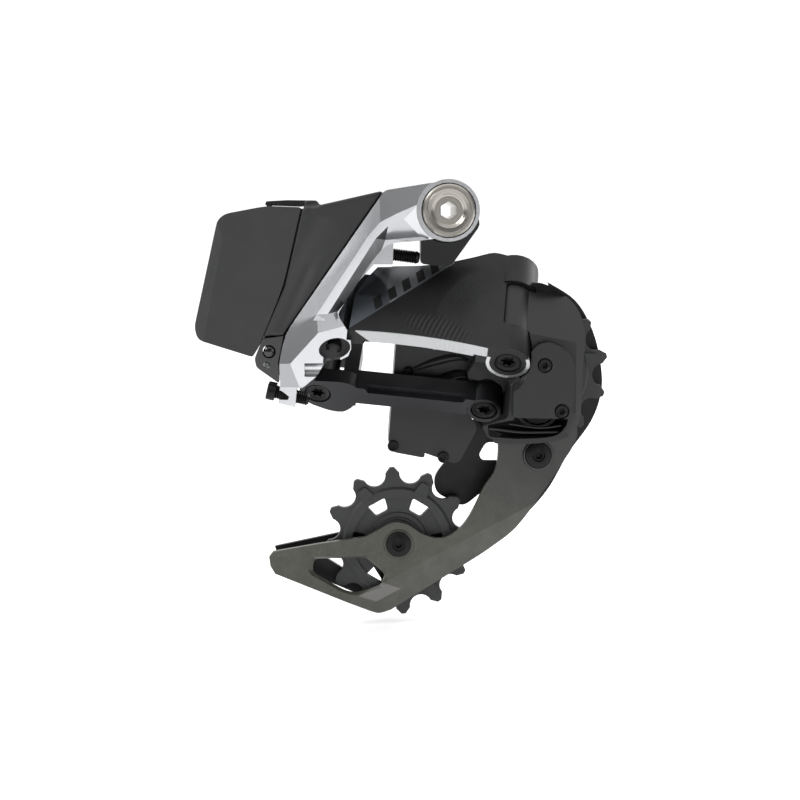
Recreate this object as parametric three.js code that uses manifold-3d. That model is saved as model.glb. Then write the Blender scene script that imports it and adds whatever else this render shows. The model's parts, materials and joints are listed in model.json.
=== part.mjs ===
// Electronic rear derailleur: battery and control unit on the upper knuckle, a two-link parallelogram
// on slanted pins, a motorised lower knuckle, and a sprung cage with two pulleys.
// Millimetres. +X forward, +Y inboard (towards the wheel), +Z up.
// The origin is on the mounting bolt's axis, on the face that bears on the frame's hanger.
import * as THREE from 'three';
import { mergeVertices } from 'three/addons/utils/BufferGeometryUtils.js';
import Module from 'manifold-3d';

const wasm = await Module();
wasm.setup();

// ---------------------------------------------------------------- driving dimensions

const GAP = 0.3;                          // clearance between pieces that touch
const DEG = Math.PI / 180;

// Parallelogram. The pins lean forward and are slanted inboard as they rise.
const PIN_LEAN = 11 * DEG;
const PIN_SLANT = 45 * DEG;
const LINK_ANGLE = -7.6 * DEG;            // of the links at the smallest cog, in the plane across the pins
const LINK_LENGTH = 56.5;                 // between the pins of one link
const PIN_SPREAD = [-2.2, 26.5];          // from the outer link's pin to the inner link's pin on a knuckle
const PIN_B_CENTRE = [19.2, -20, -47.7];  // lower end of the outer link's front pin
const PIN_RADIUS = 2.5;
const PIN_HOLE = PIN_RADIUS + GAP;

// Mounting bolt and boss
const BOSS_RADIUS = 10;
const BOSS_OUTER_Y = -17.5;
const BOSS_INNER_Y = -3.1;
const BOLT_SHANK_RADIUS = 6;
const BUSH_WALL = 1.2;

// Cage and pulleys
const CAGE_PIVOT = [30.1, -63.6];
const UPPER_PULLEY = [32.4, -55.1];
const LOWER_PULLEY = [-15, -115.1];
const CHAIN_PITCH = 12.7;
const PULLEY_TEETH = 12;
const ROLLER_RADIUS = 3.9;
const PULLEY_TIP_RADIUS = 25.5;
const PULLEY_Y = [15.5, 20.5];
const PULLEY_BORE = 5.6;
const OUTER_PLATE_Y = [11.5, 13.5];
const INNER_PLATE_Y = [22.5, 24.5];
const PULLEY_BOLT_RADIUS = 2.5;

// Knuckle depths
const ARM_Y = [-20, -8];
const FOOT_FRONT_Y = -21;
const HOUSING_Y = [-17, 13];
const BATTERY_Y = [-16, 6];
const MODULE_Y = [-14, -1];
const P_BODY_Y = [-18, 9];
const P_COVER_Y = [-21, -18.3];
const MOTOR_Y = [9.5, 21];

// Outer link, in its own frame: X along the link, Y across it (inboard), Z along the pins
const OUTER_LINK_FACE = -7;
const OUTER_LINK_PLATE = 4;
const A_BARREL = { radius: 5.2, low: 0.4, high: 28 };
const B_LOW_EAR = { radius: 7, low: -1.8, high: 8.5 };
const B_HIGH_EAR = { radius: 8, low: 27.4, high: 39.5 };
const B_BARREL = { radius: 6.6, low: 9, high: 26.9 };
const HOOD_FACE = -4.9;                    // across the pins, from pin B

// Inner link, in its own frame
const C_LOW_EAR = { low: -1.5, high: 4 };
const C_LUG = { radius: 6.2, low: 4.4, high: 14.4 };
const C_HIGH_EAR = { radius: 6.5, low: 14.8, high: 19 };
const D_EAR = { radius: 6, low: -1.5, high: 6.5 };
const D_LUG = { radius: 6, low: 6.9, high: 16 };

// Screws: [x, z] of the axis
const COVER_SCREWS = [[31.1, -49.8], [36.8, -64.8]];
const COVER_SCREW_RADIUS = 1.2;
const STOP_SCREW = [33.6, -84];

// ---------------------------------------------------------------- solids

/** A closed geometry as a boolean solid. */
function toSolid(geometry) {
  const bare = geometry.clone();
  bare.deleteAttribute('normal');
  bare.deleteAttribute('uv');
  const merged = mergeVertices(bare, 1e-4);
  const mesh = new wasm.Mesh({
    numProp: 3,
    vertProperties: new Float32Array(merged.attributes.position.array),
    triVerts: new Uint32Array(merged.index.array),
  });
  return new wasm.Manifold(mesh);
}

function toGeometry(solid) {
  const mesh = solid.getMesh();
  const geometry = new THREE.BufferGeometry();
  geometry.setAttribute('position', new THREE.BufferAttribute(mesh.vertProperties, 3));
  geometry.setIndex(new THREE.BufferAttribute(mesh.triVerts, 1));
  geometry.computeVertexNormals();
  return geometry;
}

/** Joins the geometries in `add`, then cuts away those in `remove`. */
function shape(add, remove = []) {
  let solid = toSolid(add[0]);
  for (const geometry of add.slice(1)) solid = solid.add(toSolid(geometry));
  for (const geometry of remove) solid = solid.subtract(toSolid(geometry));
  return toGeometry(solid);
}

/** An outline of [x, y, corner radius] points, with its corners rounded. */
function outline(points) {
  const path = new THREE.Shape();
  const count = points.length;
  points.forEach(([x, y, radius = 0], i) => {
    const corner = new THREE.Vector2(x, y);
    const before = new THREE.Vector2(...points[(i + count - 1) % count].slice(0, 2)).sub(corner);
    const after = new THREE.Vector2(...points[(i + 1) % count].slice(0, 2)).sub(corner);
    const reach = Math.min(radius, before.length() * 0.45, after.length() * 0.45);
    const enter = corner.clone().addScaledVector(before.normalize(), reach);
    const leave = corner.clone().addScaledVector(after.normalize(), reach);
    if (i === 0) path.moveTo(enter.x, enter.y);
    else path.lineTo(enter.x, enter.y);
    if (reach > 0) path.quadraticCurveTo(x, y, leave.x, leave.y);
  });
  path.closePath();
  return path;
}

/** Extrudes a shape along +Z between two heights. */
function extrude(path, low, high, curveSegments = 2) {
  const options = { depth: high - low, bevelEnabled: false, curveSegments };
  return new THREE.ExtrudeGeometry(path, options).translate(0, 0, low);
}

/** Extrudes an outline of [x, z] points along Y between two depths. */
function slab(points, [outer, inner], curveSegments = 2) {
  const path = points instanceof THREE.Shape ? points : outline(points);
  const options = { depth: inner - outer, bevelEnabled: false, curveSegments };
  return new THREE.ExtrudeGeometry(path, options).rotateX(Math.PI / 2).translate(0, inner, 0);
}

/** A cylinder along Y, centred on [x, z]. */
function rodY(radius, outer, inner, [x, z] = [0, 0], sides = 18) {
  return new THREE.CylinderGeometry(radius, radius, inner - outer, sides)
    .translate(x, (inner + outer) / 2, z);
}

/** A cylinder along +Z, centred on [x, y]. */
function rodZ(radius, low, high, [x, y] = [0, 0], sides = 16) {
  return new THREE.CylinderGeometry(radius, radius, high - low, sides)
    .rotateX(Math.PI / 2).translate(x, y, (low + high) / 2);
}

/** A box between two corners. */
function block([x0, y0, z0], [x1, y1, z1]) {
  return new THREE.BoxGeometry(x1 - x0, y1 - y0, z1 - z0)
    .translate((x0 + x1) / 2, (y0 + y1) / 2, (z0 + z1) / 2);
}

/** A ring along Y. */
function ringY(innerRadius, outerRadius, [outer, inner], [x, z] = [0, 0], sides = 16) {
  const profile = [[innerRadius, outer], [outerRadius, outer], [outerRadius, inner], [innerRadius, inner],
    [innerRadius, outer]].map(([r, y]) => new THREE.Vector2(r, y));
  return new THREE.LatheGeometry(profile, sides).translate(x, 0, z);
}

/** A socket screw along +Z: its head stands on z = 0, its shank goes down. */
function screw(headRadius, headHeight, shankRadius, length, socket = 0.5) {
  return shape(
    [rodZ(headRadius, 0, headHeight, [0, 0], 12), rodZ(shankRadius, -length, 0.2, [0, 0], 8)],
    [rodZ(headRadius * socket, headHeight * 0.35, headHeight + 1, [0, 0], 6)],
  );
}

// ---------------------------------------------------------------- materials and placing

const finish = (color, roughness, metalness) => ({ color, roughness, metalness });
const SILVER = finish(0xb9bbbe, 0.28, 0.95);
const STEEL = finish(0xbdb6aa, 0.3, 0.95);
const BLACK_STEEL = finish(0x17171a, 0.4, 0.7);
const DARK_PAINT = finish(0x333436, 0.42, 0.3);
const LINK_PAINT = finish(0x2b2b2d, 0.45, 0.3);
const MATTE_PLASTIC = finish(0x2c2d2f, 0.6, 0);
const GLOSS_PLASTIC = finish(0x141416, 0.2, 0);
const CARBON = finish(0x33332f, 0.45, 0.05);
const INNER_PLATE = finish(0x1b1b1d, 0.4, 0.4);
const PULLEY_PLASTIC = finish(0x38393b, 0.55, 0);
const BRONZE = finish(0x8d7446, 0.4, 0.8);
const COPPER = finish(0xc9a24a, 0.3, 0.9);
const BOARD = finish(0x1d4a2c, 0.6, 0);
const CELL = finish(0x6d7278, 0.5, 0.2);
const LENS = finish(0x5f8f6a, 0.2, 0);
const RUBBER = finish(0x18181a, 0.8, 0);
const BRASS = finish(0xb08a45, 0.35, 0.85);

const derailleur = new THREE.Group();

function piece(name, geometry, material, parent = derailleur) {
  const mesh = new THREE.Mesh(geometry, new THREE.MeshStandardMaterial(material));
  mesh.name = name;
  parent.add(mesh);
  return mesh;
}

/** A group whose X lies across the pins, whose Y goes inboard and down, and whose Z runs along the pins. */
function pinGroup([x, y, z], turn = 0) {
  const group = new THREE.Group();
  group.position.set(x, y, z);
  group.rotation.set(-PIN_SLANT, PIN_LEAN, turn, 'YXZ');
  group.updateMatrixWorld(true);
  derailleur.add(group);
  return group;
}

/** A geometry made in a group's frame, moved to the part's frame. */
const fromGroup = (geometry, group) => geometry.applyMatrix4(group.matrixWorld);

// Pin positions in the plane across the pins, measured from pin B
const linkVector = [LINK_LENGTH * Math.cos(LINK_ANGLE), LINK_LENGTH * Math.sin(LINK_ANGLE)];
const frameB = pinGroup(PIN_B_CENTRE);
const across = (x, y) => new THREE.Vector3(x, y, 0).applyMatrix4(frameB.matrixWorld).toArray();
const PIN_A_CENTRE = across(-linkVector[0], -linkVector[1]);
const PIN_C_CENTRE = across(PIN_SPREAD[0] - linkVector[0], PIN_SPREAD[1] - linkVector[1]);
const PIN_D_CENTRE = across(...PIN_SPREAD);
const frameA = pinGroup(PIN_A_CENTRE);
const frameC = pinGroup(PIN_C_CENTRE);
const frameD = pinGroup(PIN_D_CENTRE);
const outerLinkFrame = pinGroup(PIN_A_CENTRE, LINK_ANGLE);
const innerLinkFrame = pinGroup(PIN_C_CENTRE, LINK_ANGLE);

/** Part of a ring between two radii, along Z. */
function sector(innerRadius, outerRadius, [fromDegrees, toDegrees], low, high) {
  const ring = new THREE.Shape();
  ring.moveTo(innerRadius * Math.cos(fromDegrees * DEG), innerRadius * Math.sin(fromDegrees * DEG));
  ring.lineTo(outerRadius * Math.cos(fromDegrees * DEG), outerRadius * Math.sin(fromDegrees * DEG));
  ring.absarc(0, 0, outerRadius, fromDegrees * DEG, toDegrees * DEG, false);
  ring.lineTo(innerRadius * Math.cos(toDegrees * DEG), innerRadius * Math.sin(toDegrees * DEG));
  ring.absarc(0, 0, innerRadius, toDegrees * DEG, fromDegrees * DEG, true);
  return extrude(ring, low, high, 6);
}

/** The space that a link sweeps as it turns: a hub around its pin and a wedge of the given reach. */
function sweptSpace(frame, hubRadius, [fromDegrees, toDegrees], reach, low, high) {
  const wedge = new THREE.Shape();
  wedge.moveTo(0, 0);
  wedge.lineTo(reach * Math.cos(fromDegrees * DEG), reach * Math.sin(fromDegrees * DEG));
  wedge.absarc(0, 0, reach, fromDegrees * DEG, toDegrees * DEG, false);
  wedge.closePath();
  return fromGroup(shape([rodZ(hubRadius, low, high), extrude(wedge, low, high, 6)]), frame);
}

const pinRod = (frame, radius, low, high, sides = 16) =>
  fromGroup(rodZ(radius, low, high, [0, 0], sides), frame);

// ---------------------------------------------------------------- mounting bolt and stop washer

const WASHER_Y = [-2.8, 0];
const TAB_Y = [-7.6, -2];

function mountingBolt() {
  const profile = [[0, -18.4], [5.2, -18.4], [8.5, -18.4], [8.5, -16.2], [BOLT_SHANK_RADIUS, -16.2],
    [BOLT_SHANK_RADIUS, 0], [4.9, 0], [4.9, 9], [0, 9]].map(([r, y]) => new THREE.Vector2(r, y));
  const socketRecess = rodY(5.2, -19, -16.8, [0, 0], 32);
  const hexSocket = rodY(2.9, -20, 12, [0, 0], 6);
  return shape([new THREE.LatheGeometry(profile, 32)], [socketRecess, hexSocket]);
}
piece('mounting_bolt', mountingBolt(), STEEL);

function stopWasher() {
  const ring = rodY(9.6, ...WASHER_Y, [0, 0], 32);
  const lug = [[-8.4, -4], [-8.4, -17.3, 1], [1.3, -18.4, 2], [11.2, -4.6, 1.5], [9, 2]];
  const tab = slab(lug, [TAB_Y[0], WASHER_Y[1]]);
  const aboveLink = slab([[-12, -16.2], [-12, -30], [16, -30], [16, -16.2]], [TAB_Y[1], 2]);
  const bossSpace = rodY(BOSS_RADIUS + 0.4, TAB_Y[0] - 1, WASHER_Y[0], [0, 0], 32);
  return shape([ring, tab], [bossSpace, aboveLink, rodY(BOLT_SHANK_RADIUS + GAP, -12, 2, [0, 0], 32)]);
}
piece('stop_washer', stopWasher(), DARK_PAINT);

// ---------------------------------------------------------------- upper knuckle

const ARM_OUTLINE = [[-3, 9.2], [-20.6, 6.4, 1], [-36.9, -16.4], [-52.8, -39.7, 3], [-54.8, -48.7, 2],
  [-54.5, -55.9, 1], [-55.2, -62], [-49.7, -63.3], [-49.1, -56.8], [-47.4, -56.9, 1], [-42.3, -52.7, 1],
  [-40, -48.5, 1], [-31.9, -47.2, 3], [-31.3, -40.8, 3], [-36, -33.2, 1.5], [-24.8, -16.4], [-20, -10.6, 3],
  [-9, -9.6], [-1, -8.6]];
const ABOVE_FOOT = [[-60, -34], [-30, -36], [20, -20], [20, 20], [-60, 20]];
const ADJUSTER_BLOCK = [[-28, -7], [-17.6, -8], [-17.8, -17.4], [-24, -17.4], [-30, -24]];
const ADJUSTER_Y = -5.5;
const ADJUSTER_TIP = [-8.8, ADJUSTER_Y, -15.4];
const ADJUSTER_TILT = 7.3 * DEG;
const ADJUSTER_RADIUS = 2.1;
const LIMIT_SCREW_Y = [-16.8, -10.8];
const LIMIT_SCREW_MIDDLE = [-52.3, -59.6];
const LIMIT_SCREW_TILT = 13 * DEG;

/** A rod whose far end is at the origin of the adjuster, pointing forward and slightly down. */
const adjusterRod = (radius, from, to, sides) => rodZ(radius, from, to, [0, 0], sides)
  .rotateY(Math.PI / 2 + ADJUSTER_TILT).translate(...ADJUSTER_TIP);
const limitRod = (radius, from, to, y, sides) => rodZ(radius, from, to, [0, 0], sides)
  .rotateY(Math.PI / 2 + LIMIT_SCREW_TILT).translate(LIMIT_SCREW_MIDDLE[0], y, LIMIT_SCREW_MIDDLE[1]);

function upperKnuckleFrame() {
  const boss = rodY(BOSS_RADIUS, BOSS_OUTER_Y - 1, BOSS_INNER_Y, [0, 0], 32);
  const arm = slab(ARM_OUTLINE, [FOOT_FRONT_Y, ARM_Y[1]]);
  const adjusterBlock = slab(ADJUSTER_BLOCK, [-12, -1.2]);
  const linkSpace = fromGroup(block([4, OUTER_LINK_FACE - 0.6, -2.4], [40, 20, 50]), outerLinkFrame);
  return shape([boss, arm, adjusterBlock], [
    slab(ABOVE_FOOT, [-30, ARM_Y[0]]),
    rodY(BOSS_RADIUS + 0.5, -29, BOSS_OUTER_Y, [0, 0], 28),
    rodY(8.9, -25, -15.9, [0, 0], 30),
    rodY(BOLT_SHANK_RADIUS + BUSH_WALL + 2 * GAP, -24, 0, [0, 0], 28),
    sweptSpace(frameA, A_BARREL.radius + 0.6, [-50, 70], 30, -0.1, 27.9),
    pinRod(frameA, A_BARREL.radius + 0.6, 20, 60),
    pinRod(frameA, PIN_HOLE, -12, 2),
    linkSpace,
    rodY(2.75, -40, -16.2, [0, 0], 20).scale(1.6, 1, 1).translate(-37.1, 0, -44),
    adjusterRod(ADJUSTER_RADIUS + GAP, -40, 10, 16),
    ...LIMIT_SCREW_Y.map((y) => limitRod(1.9 + GAP, -12, 12, y, 12)),
  ]);
}
piece('upper_knuckle', upperKnuckleFrame(), SILVER);

piece('mounting_bush', ringY(BOLT_SHANK_RADIUS + GAP, BOLT_SHANK_RADIUS + GAP + BUSH_WALL,
  [-15.6, BOSS_INNER_Y], [0, 0], 28), BRONZE);

const adjuster = shape([adjusterRod(ADJUSTER_RADIUS, -17, 0, 14)], [adjusterRod(1.1, -18, -15, 6)]);
piece('angle_adjuster_screw', adjuster, BLACK_STEEL);

LIMIT_SCREW_Y.forEach((y, i) => {
  const head = limitRod(2.7, -6.8, -4, y, 16);
  const shank = limitRod(1.9, -4.1, 7.2, y, 12);
  const socket = limitRod(1.3, -8, -5.2, y, 6);
  piece(`limit_screw_${i + 1}`, shape([head, shank], [socket]), BLACK_STEEL);
});

// ---------------------------------------------------------------- battery housing

const BATTERY_OUTLINE = [[-47.4, 1, 1], [-58.6, 1.4, 2], [-74, -1.5, 3], [-82.3, -37.5, 3],
  [-81.3, -41.5, 2], [-63.4, -47.2, 1], [-60.9, -42.6], [-53.4, -24.5]];
const BATTERY_CAVITY = [[-50.6, -1.2], [-58.6, -0.8], [-72.2, -3.4], [-79.8, -36.8], [-64, -44.2],
  [-63.3, -42.5], [-55.8, -24.4]];
const ARM_SPACE = [[-19, 9], [-21.2, 6.2], [-37.4, -16.5], [-53.3, -39.8], [-53.3, -41],
  [-70, -41.1], [-70, -70], [0, -70], [0, 9]];
const ARM_RIB_SPACE = [[-30, -6.6], [-12, -6.6], [-12, -40], [-34, -40], [-34, -12.2]];
const HOUSING_OUTLINE = [[-46.9, 1, 1], [-42.9, 1.4], [-21.2, 6.3, 1], [-15.8, 3.5, 2], [-19, -9],
  [-26.5, -18.5], [-30, -25], [-37, -27], [-41, -43], [-43.4, -56], [-51, -58.5, 2], [-59.6, -50],
  [-60.1, -40.8], [-52.9, -24.5]];
const MODULE_OUTLINE = [[-60.3, -41.4, 0.5], [-53.5, -40.5], [-55.3, -48.9], [-54.9, -56.1, 1],
  [-62.5, -50.6, 1], [-62.9, -47.7, 0.8]];
const MODULE_SPACE = [[-70, -41.1], [-53, -40.1], [-54, -49], [-54, -70], [-70, -70]];
const MODULE_CAVITY = [[-59.9, -43], [-55.2, -42.2], [-56.8, -48.8], [-56.4, -53.2], [-61, -49.9],
  [-61.3, -47.8]];
const LATCH_PIVOT = [-44.2, 1.5];
const LATCH_Y = [-9, 3];
const CONTACT_Z = [-20, -9];
const CONTACT_Y = [-10, 0];
const BUTTON_AT = [-58.2, -45.6];
const BUTTON_RADIUS = 1.9;
const LIGHT_AT = [-59, -50];

function batteryHousing() {
  const body = slab(HOUSING_OUTLINE, HOUSING_Y);
  const lugC = pinRod(frameC, C_LUG.radius, C_LUG.low - 1, C_LUG.high + 1);
  const lugWeb = fromGroup(block([-12, -9, C_LUG.low - 1], [-2, 3, C_LUG.high + 1]), frameC);
  const ears = [[-12, -9.4], [3.4, 6]].map(([outer, inner]) =>
    slab([[-46.6, -3], [-46.6, 3.3, 1], [-41.8, 3.3, 1], [-41.8, -3]], [outer, inner]));
  return shape([body, lugC, lugWeb, ...ears], [
    slab(ARM_SPACE, [-31, -7.6]),
    sweptSpace(frameA, A_BARREL.radius + 0.6, [-60, 78], 64, -5, 28.3),
    pinRod(frameA, PIN_HOLE, 20, 36.6),
    pinRod(frameC, PIN_HOLE, 0, 30),
    sweptSpace(frameC, 7.4, [-60, 120], 40, -20, C_LUG.low),
    sweptSpace(frameC, 7.4, [-60, 120], 40, C_LUG.high, 40),
    fromGroup(sector(7, 40, [-60, 120], 0, 20), frameC),
    fromGroup(block([8.5, OUTER_LINK_FACE - 0.6, -5], [45, 16, 34]), outerLinkFrame),
    slab(ARM_RIB_SPACE, [-30, -0.8]),
    adjusterRod(ADJUSTER_RADIUS + 0.7, -26, 0, 12),
    slab(MODULE_SPACE, [-30, MODULE_Y[1] + GAP]),
    block([-46.9 - 1, LATCH_Y[0] - GAP, -0.6], [-41.4, LATCH_Y[1] + GAP, 9]),
    rodY(1.1, -11, 5, LATCH_PIVOT, 12),
    block([-60, CONTACT_Y[0] - GAP, CONTACT_Z[0] - GAP], [-46, CONTACT_Y[1] + GAP, CONTACT_Z[1] + GAP]),
  ]);
}
piece('battery_housing', batteryHousing(), MATTE_PLASTIC);

/** The slanted face that the battery rests on. */
const faceAt = (z) => -47.2 + (z - 1) * (53.1 - 47.2) / 25.5;
const contactBlock = slab([[faceAt(CONTACT_Z[1]), CONTACT_Z[1]], [faceAt(CONTACT_Z[0]), CONTACT_Z[0]],
  [-46.4, CONTACT_Z[0]], [-46.4, CONTACT_Z[1]]], CONTACT_Y);
piece('contact_block', contactBlock, GLOSS_PLASTIC);
piece('latch_pin', rodY(0.8, -10.8, 4.8, LATCH_PIVOT, 12), STEEL);

function controlModule() {
  return shape([slab(MODULE_OUTLINE, MODULE_Y)], [
    slab(MODULE_CAVITY, [-9.6, 0]),
    rodY(BUTTON_RADIUS + GAP, -16, -9, BUTTON_AT, 16),
    rodY(0.9 + 0.2, -16, -9, LIGHT_AT, 12),
  ]);
}
piece('control_module', controlModule(), GLOSS_PLASTIC);

const BOARD_OUTLINE = [[-59.4, -43.5], [-55.7, -42.8], [-57.2, -48.8], [-56.9, -52.4], [-60.5, -49.6],
  [-60.8, -47.9]];
piece('circuit_board', slab(BOARD_OUTLINE, [-5.5, -4.3]), BOARD);
piece('status_light', rodY(0.9, -14.1, -9.8, LIGHT_AT, 12), LENS);

const button = new THREE.LatheGeometry([[0, -15.1], [1.1, -14.95], [1.7, -14.6], [BUTTON_RADIUS, -14.1],
  [BUTTON_RADIUS, -11], [0, -11]].map(([r, y]) => new THREE.Vector2(r, y)), 16)
  .translate(BUTTON_AT[0], 0, BUTTON_AT[1]);
piece('function_button', button, RUBBER);

function batteryLatch() {
  const bar = slab([[-59.2, 1.9, 0.5], [-59, 3.6, 0.8], [-44.5, 3.5], [-43.2, 2.6], [-43.2, 1.9]], LATCH_Y);
  const barrel = rodY(1.7, ...LATCH_Y, LATCH_PIVOT, 14);
  const hook = slab([[-58.9, 2.2], [-58.5, 0.3], [-57.2, 0.3], [-56.8, 2.2]], LATCH_Y);
  return shape([bar, barrel, hook], [rodY(1.1, -20, 20, LATCH_PIVOT, 12)]);
}
piece('battery_latch', batteryLatch(), GLOSS_PLASTIC);

function batteryCase() {
  const notch = block([-59.4, LATCH_Y[0] - 0.5, -0.1], [-53.2, LATCH_Y[1] + 0.5, 4]);
  const windowLow = [-60, CONTACT_Y[0] - GAP, CONTACT_Z[0] - GAP];
  const window = block(windowLow, [-40, CONTACT_Y[1] + GAP, CONTACT_Z[1] + GAP]);
  return shape([slab(BATTERY_OUTLINE, BATTERY_Y)],
    [slab(BATTERY_CAVITY, [BATTERY_Y[0] + 1.6, BATTERY_Y[1] - 1.6]), notch, window]);
}
piece('battery_case', batteryCase(), MATTE_PLASTIC);
const CELL_OUTLINE = [[-55.5, -3], [-58.6, -2.6], [-71.4, -4.9], [-78.6, -36.2], [-65.4, -42],
  [-64.7, -40.6], [-58.3, -24.4]];
piece('battery_cell', slab(CELL_OUTLINE, [BATTERY_Y[0] + 2.2, BATTERY_Y[1] - 2.2]), CELL);
const batteryContacts = slab([[faceAt(CONTACT_Z[1]) - 0.6, CONTACT_Z[1]], [-54.5, CONTACT_Z[1]],
  [-56.6, CONTACT_Z[0]], [faceAt(CONTACT_Z[0]) - 0.6, CONTACT_Z[0]]], CONTACT_Y);
piece('battery_contacts', batteryContacts, COPPER);

// ---------------------------------------------------------------- links and their pins

const OUTER_LINK_FACE_OUTLINE = [[4.6, -1.1], [13, -0.5], [21, -0.4], [29, -0.6], [37.2, -1.2],
  [45, -2.1], [49, -2.6], [53, -1.8], [56.5, -1.8], [56.5, 8.5], [53.8, 9.4, 0.5], [53.8, 26.6, 0.5],
  [56.5, 27.4], [57.4, 38.6], [53.4, 39.8, 1.5], [48.8, 40.8, 2], [42, 37.3, 2], [34.3, 33.9, 3],
  [24.6, 30.9, 2], [13.9, 29.2, 2], [4.6, 14]];
const OUTER_LINK_FLANGE = [[9.5, -0.7], [13, -0.5], [21, -0.4], [29, -0.6], [37.2, -1.2], [45, -2.1],
  [47, -1], [37.2, 1.3], [21, 2.2], [9.5, 2.2]];
const OUTER_LINK_FLANGE_END = -2.1;

function outerLink() {
  const plateY = [OUTER_LINK_FACE, OUTER_LINK_FACE + OUTER_LINK_PLATE];
  const plate = slab(OUTER_LINK_FACE_OUTLINE, plateY);
  const barrel = rodZ(A_BARREL.radius, A_BARREL.low, A_BARREL.high);
  const neck = slab([[0, 1], [9, 1.2], [14, 12], [14, 27.6], [0, 27.6]], [-3.8, 1.5]);
  const ears = [B_LOW_EAR, B_HIGH_EAR].map(({ radius, low, high }) =>
    rodZ(radius, low, high, [LINK_LENGTH, 0], 24));
  const earWebs = [B_LOW_EAR, B_HIGH_EAR].map(({ low, high }) =>
    block([46, OUTER_LINK_FACE + 0.5, low], [LINK_LENGTH, 1, high]));
  const barrelSpace = rodZ(B_BARREL.radius + 0.5, B_LOW_EAR.high, B_HIGH_EAR.low, [LINK_LENGTH, 0], 24);
  const flange = slab(OUTER_LINK_FLANGE, [plateY[1] - 1, OUTER_LINK_FLANGE_END]);
  return shape([plate, flange, barrel, neck, ...ears, ...earWebs], [
    barrelSpace,
    rodZ(PIN_HOLE, -10, 60, [0, 0], 16),
    rodZ(PIN_HOLE, -0.2, 60, [LINK_LENGTH, 0], 16),
    rodZ(4.6, -10, -0.1, [LINK_LENGTH, 0], 20),
  ]);
}
piece('outer_link', outerLink(), LINK_PAINT, outerLinkFrame);

function innerLink() {
  const lowEar = extrude(outline([[-6.8, -2, 3], [-4.4, 5.2, 3], [4.2, 8.6, 3], [9, 8.8, 2], [13, 4, 2],
    [13, -6, 2], [8.5, -7.4, 2], [-3, -6.4, 3]]), C_LOW_EAR.low, C_LOW_EAR.high);
  const highEar = rodZ(C_HIGH_EAR.radius, C_HIGH_EAR.low, C_HIGH_EAR.high);
  const highArm = block([0, -5, C_HIGH_EAR.low], [12.5, 4.5, C_HIGH_EAR.high]);
  const web = block([8, -5.5, C_LOW_EAR.low], [13, 4.5, C_HIGH_EAR.high]);
  const bar = block([10, -5, -1.5], [LINK_LENGTH, 3, D_EAR.high]);
  const ear = rodZ(D_EAR.radius, D_EAR.low, D_EAR.high, [LINK_LENGTH, 0], 24);
  return shape([lowEar, highEar, highArm, web, bar, ear], [
    rodZ(PIN_HOLE, -10, 60, [0, 0], 16),
    rodZ(PIN_HOLE, -10, 60, [LINK_LENGTH, 0], 16),
    rodZ(4.6, -10, -0.1, [0, 0], 20),
    rodZ(4.6, -10, -0.1, [LINK_LENGTH, 0], 20),
  ]);
}
piece('inner_link', innerLink(), DARK_PAINT, innerLinkFrame);

/** A pivot pin along +Z with a socket in its lower end, and a head there if it has one. */
function pivotPin(low, high, headRadius) {
  const shank = rodZ(PIN_RADIUS, low, high, [0, 0], 16);
  const head = headRadius ? [rodZ(headRadius, low, low + 1.1, [0, 0], 20)] : [];
  return shape([shank, ...head], [rodZ(1.6, low - 1, low + 2, [0, 0], 6)]);
}
piece('link_pin_a', pivotPin(-3.4, 36.2, 0), BLACK_STEEL, frameA);
piece('link_pin_b', pivotPin(-1.6, 37.5, 4.2), BLACK_STEEL, frameB);
piece('link_pin_c', pivotPin(-1.4, 18, 4.2), BLACK_STEEL, frameC);
piece('link_pin_d', pivotPin(-1.4, 11.5, 4.2), BLACK_STEEL, frameD);

// ---------------------------------------------------------------- lower knuckle

const P_BODY_FRONT = [[20.5, -24, 2], [31.9, -23.4, 3], [38.9, -26.9, 3], [43.4, -31, 3], [45.2, -36.5, 3],
  [45.2, -43, 3], [44.2, -50.5, 3], [44, -60, 4], [43.7, -67, 3], [41.8, -72.2, 3], [36.3, -75, 3],
  [26, -76, 4], [14, -75.6, 2], [11, -70, 1], [19.5, -67.3, 1], [20.5, -57, 1], [17, -50], [17, -33]];
const P_BODY_REAR = [[20.5, -26], [17, -33], [12, -48], [8, -54], [8.5, -62], [19, -70], [31, -74],
  [38, -72.5], [42.2, -68], [43.4, -60], [44, -46], [41.6, -34], [31, -24.5]];
const P_CAVITY = [[22.5, -57, 2], [24.5, -50, 3], [31, -46.5, 3], [37, -47.5, 3], [39.6, -52, 3],
  [40, -62, 3], [39, -70, 2.5], [36, -73.2, 2], [31, -74, 3], [22, -74.2, 2], [13.2, -73.4, 1],
  [13, -69.4, 0.5], [21.5, -67.9]];
const P_COVER = [[20.8, -58, 2], [23.2, -50.4, 3], [28.3, -43.2, 3], [32.2, -42, 3], [38.3, -44.6, 3],
  [40.9, -49.1, 3], [41.2, -55, 4], [40.5, -61.4, 4], [39.6, -67.4, 1], [21, -66.8, 1]];
const COVER_BOSS_END = -14.4;

const aheadOfHood = () =>
  fromGroup(block([-40, -60, B_BARREL.low - 1], [60, HOOD_FACE, B_BARREL.high + 1]), frameB);

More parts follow.
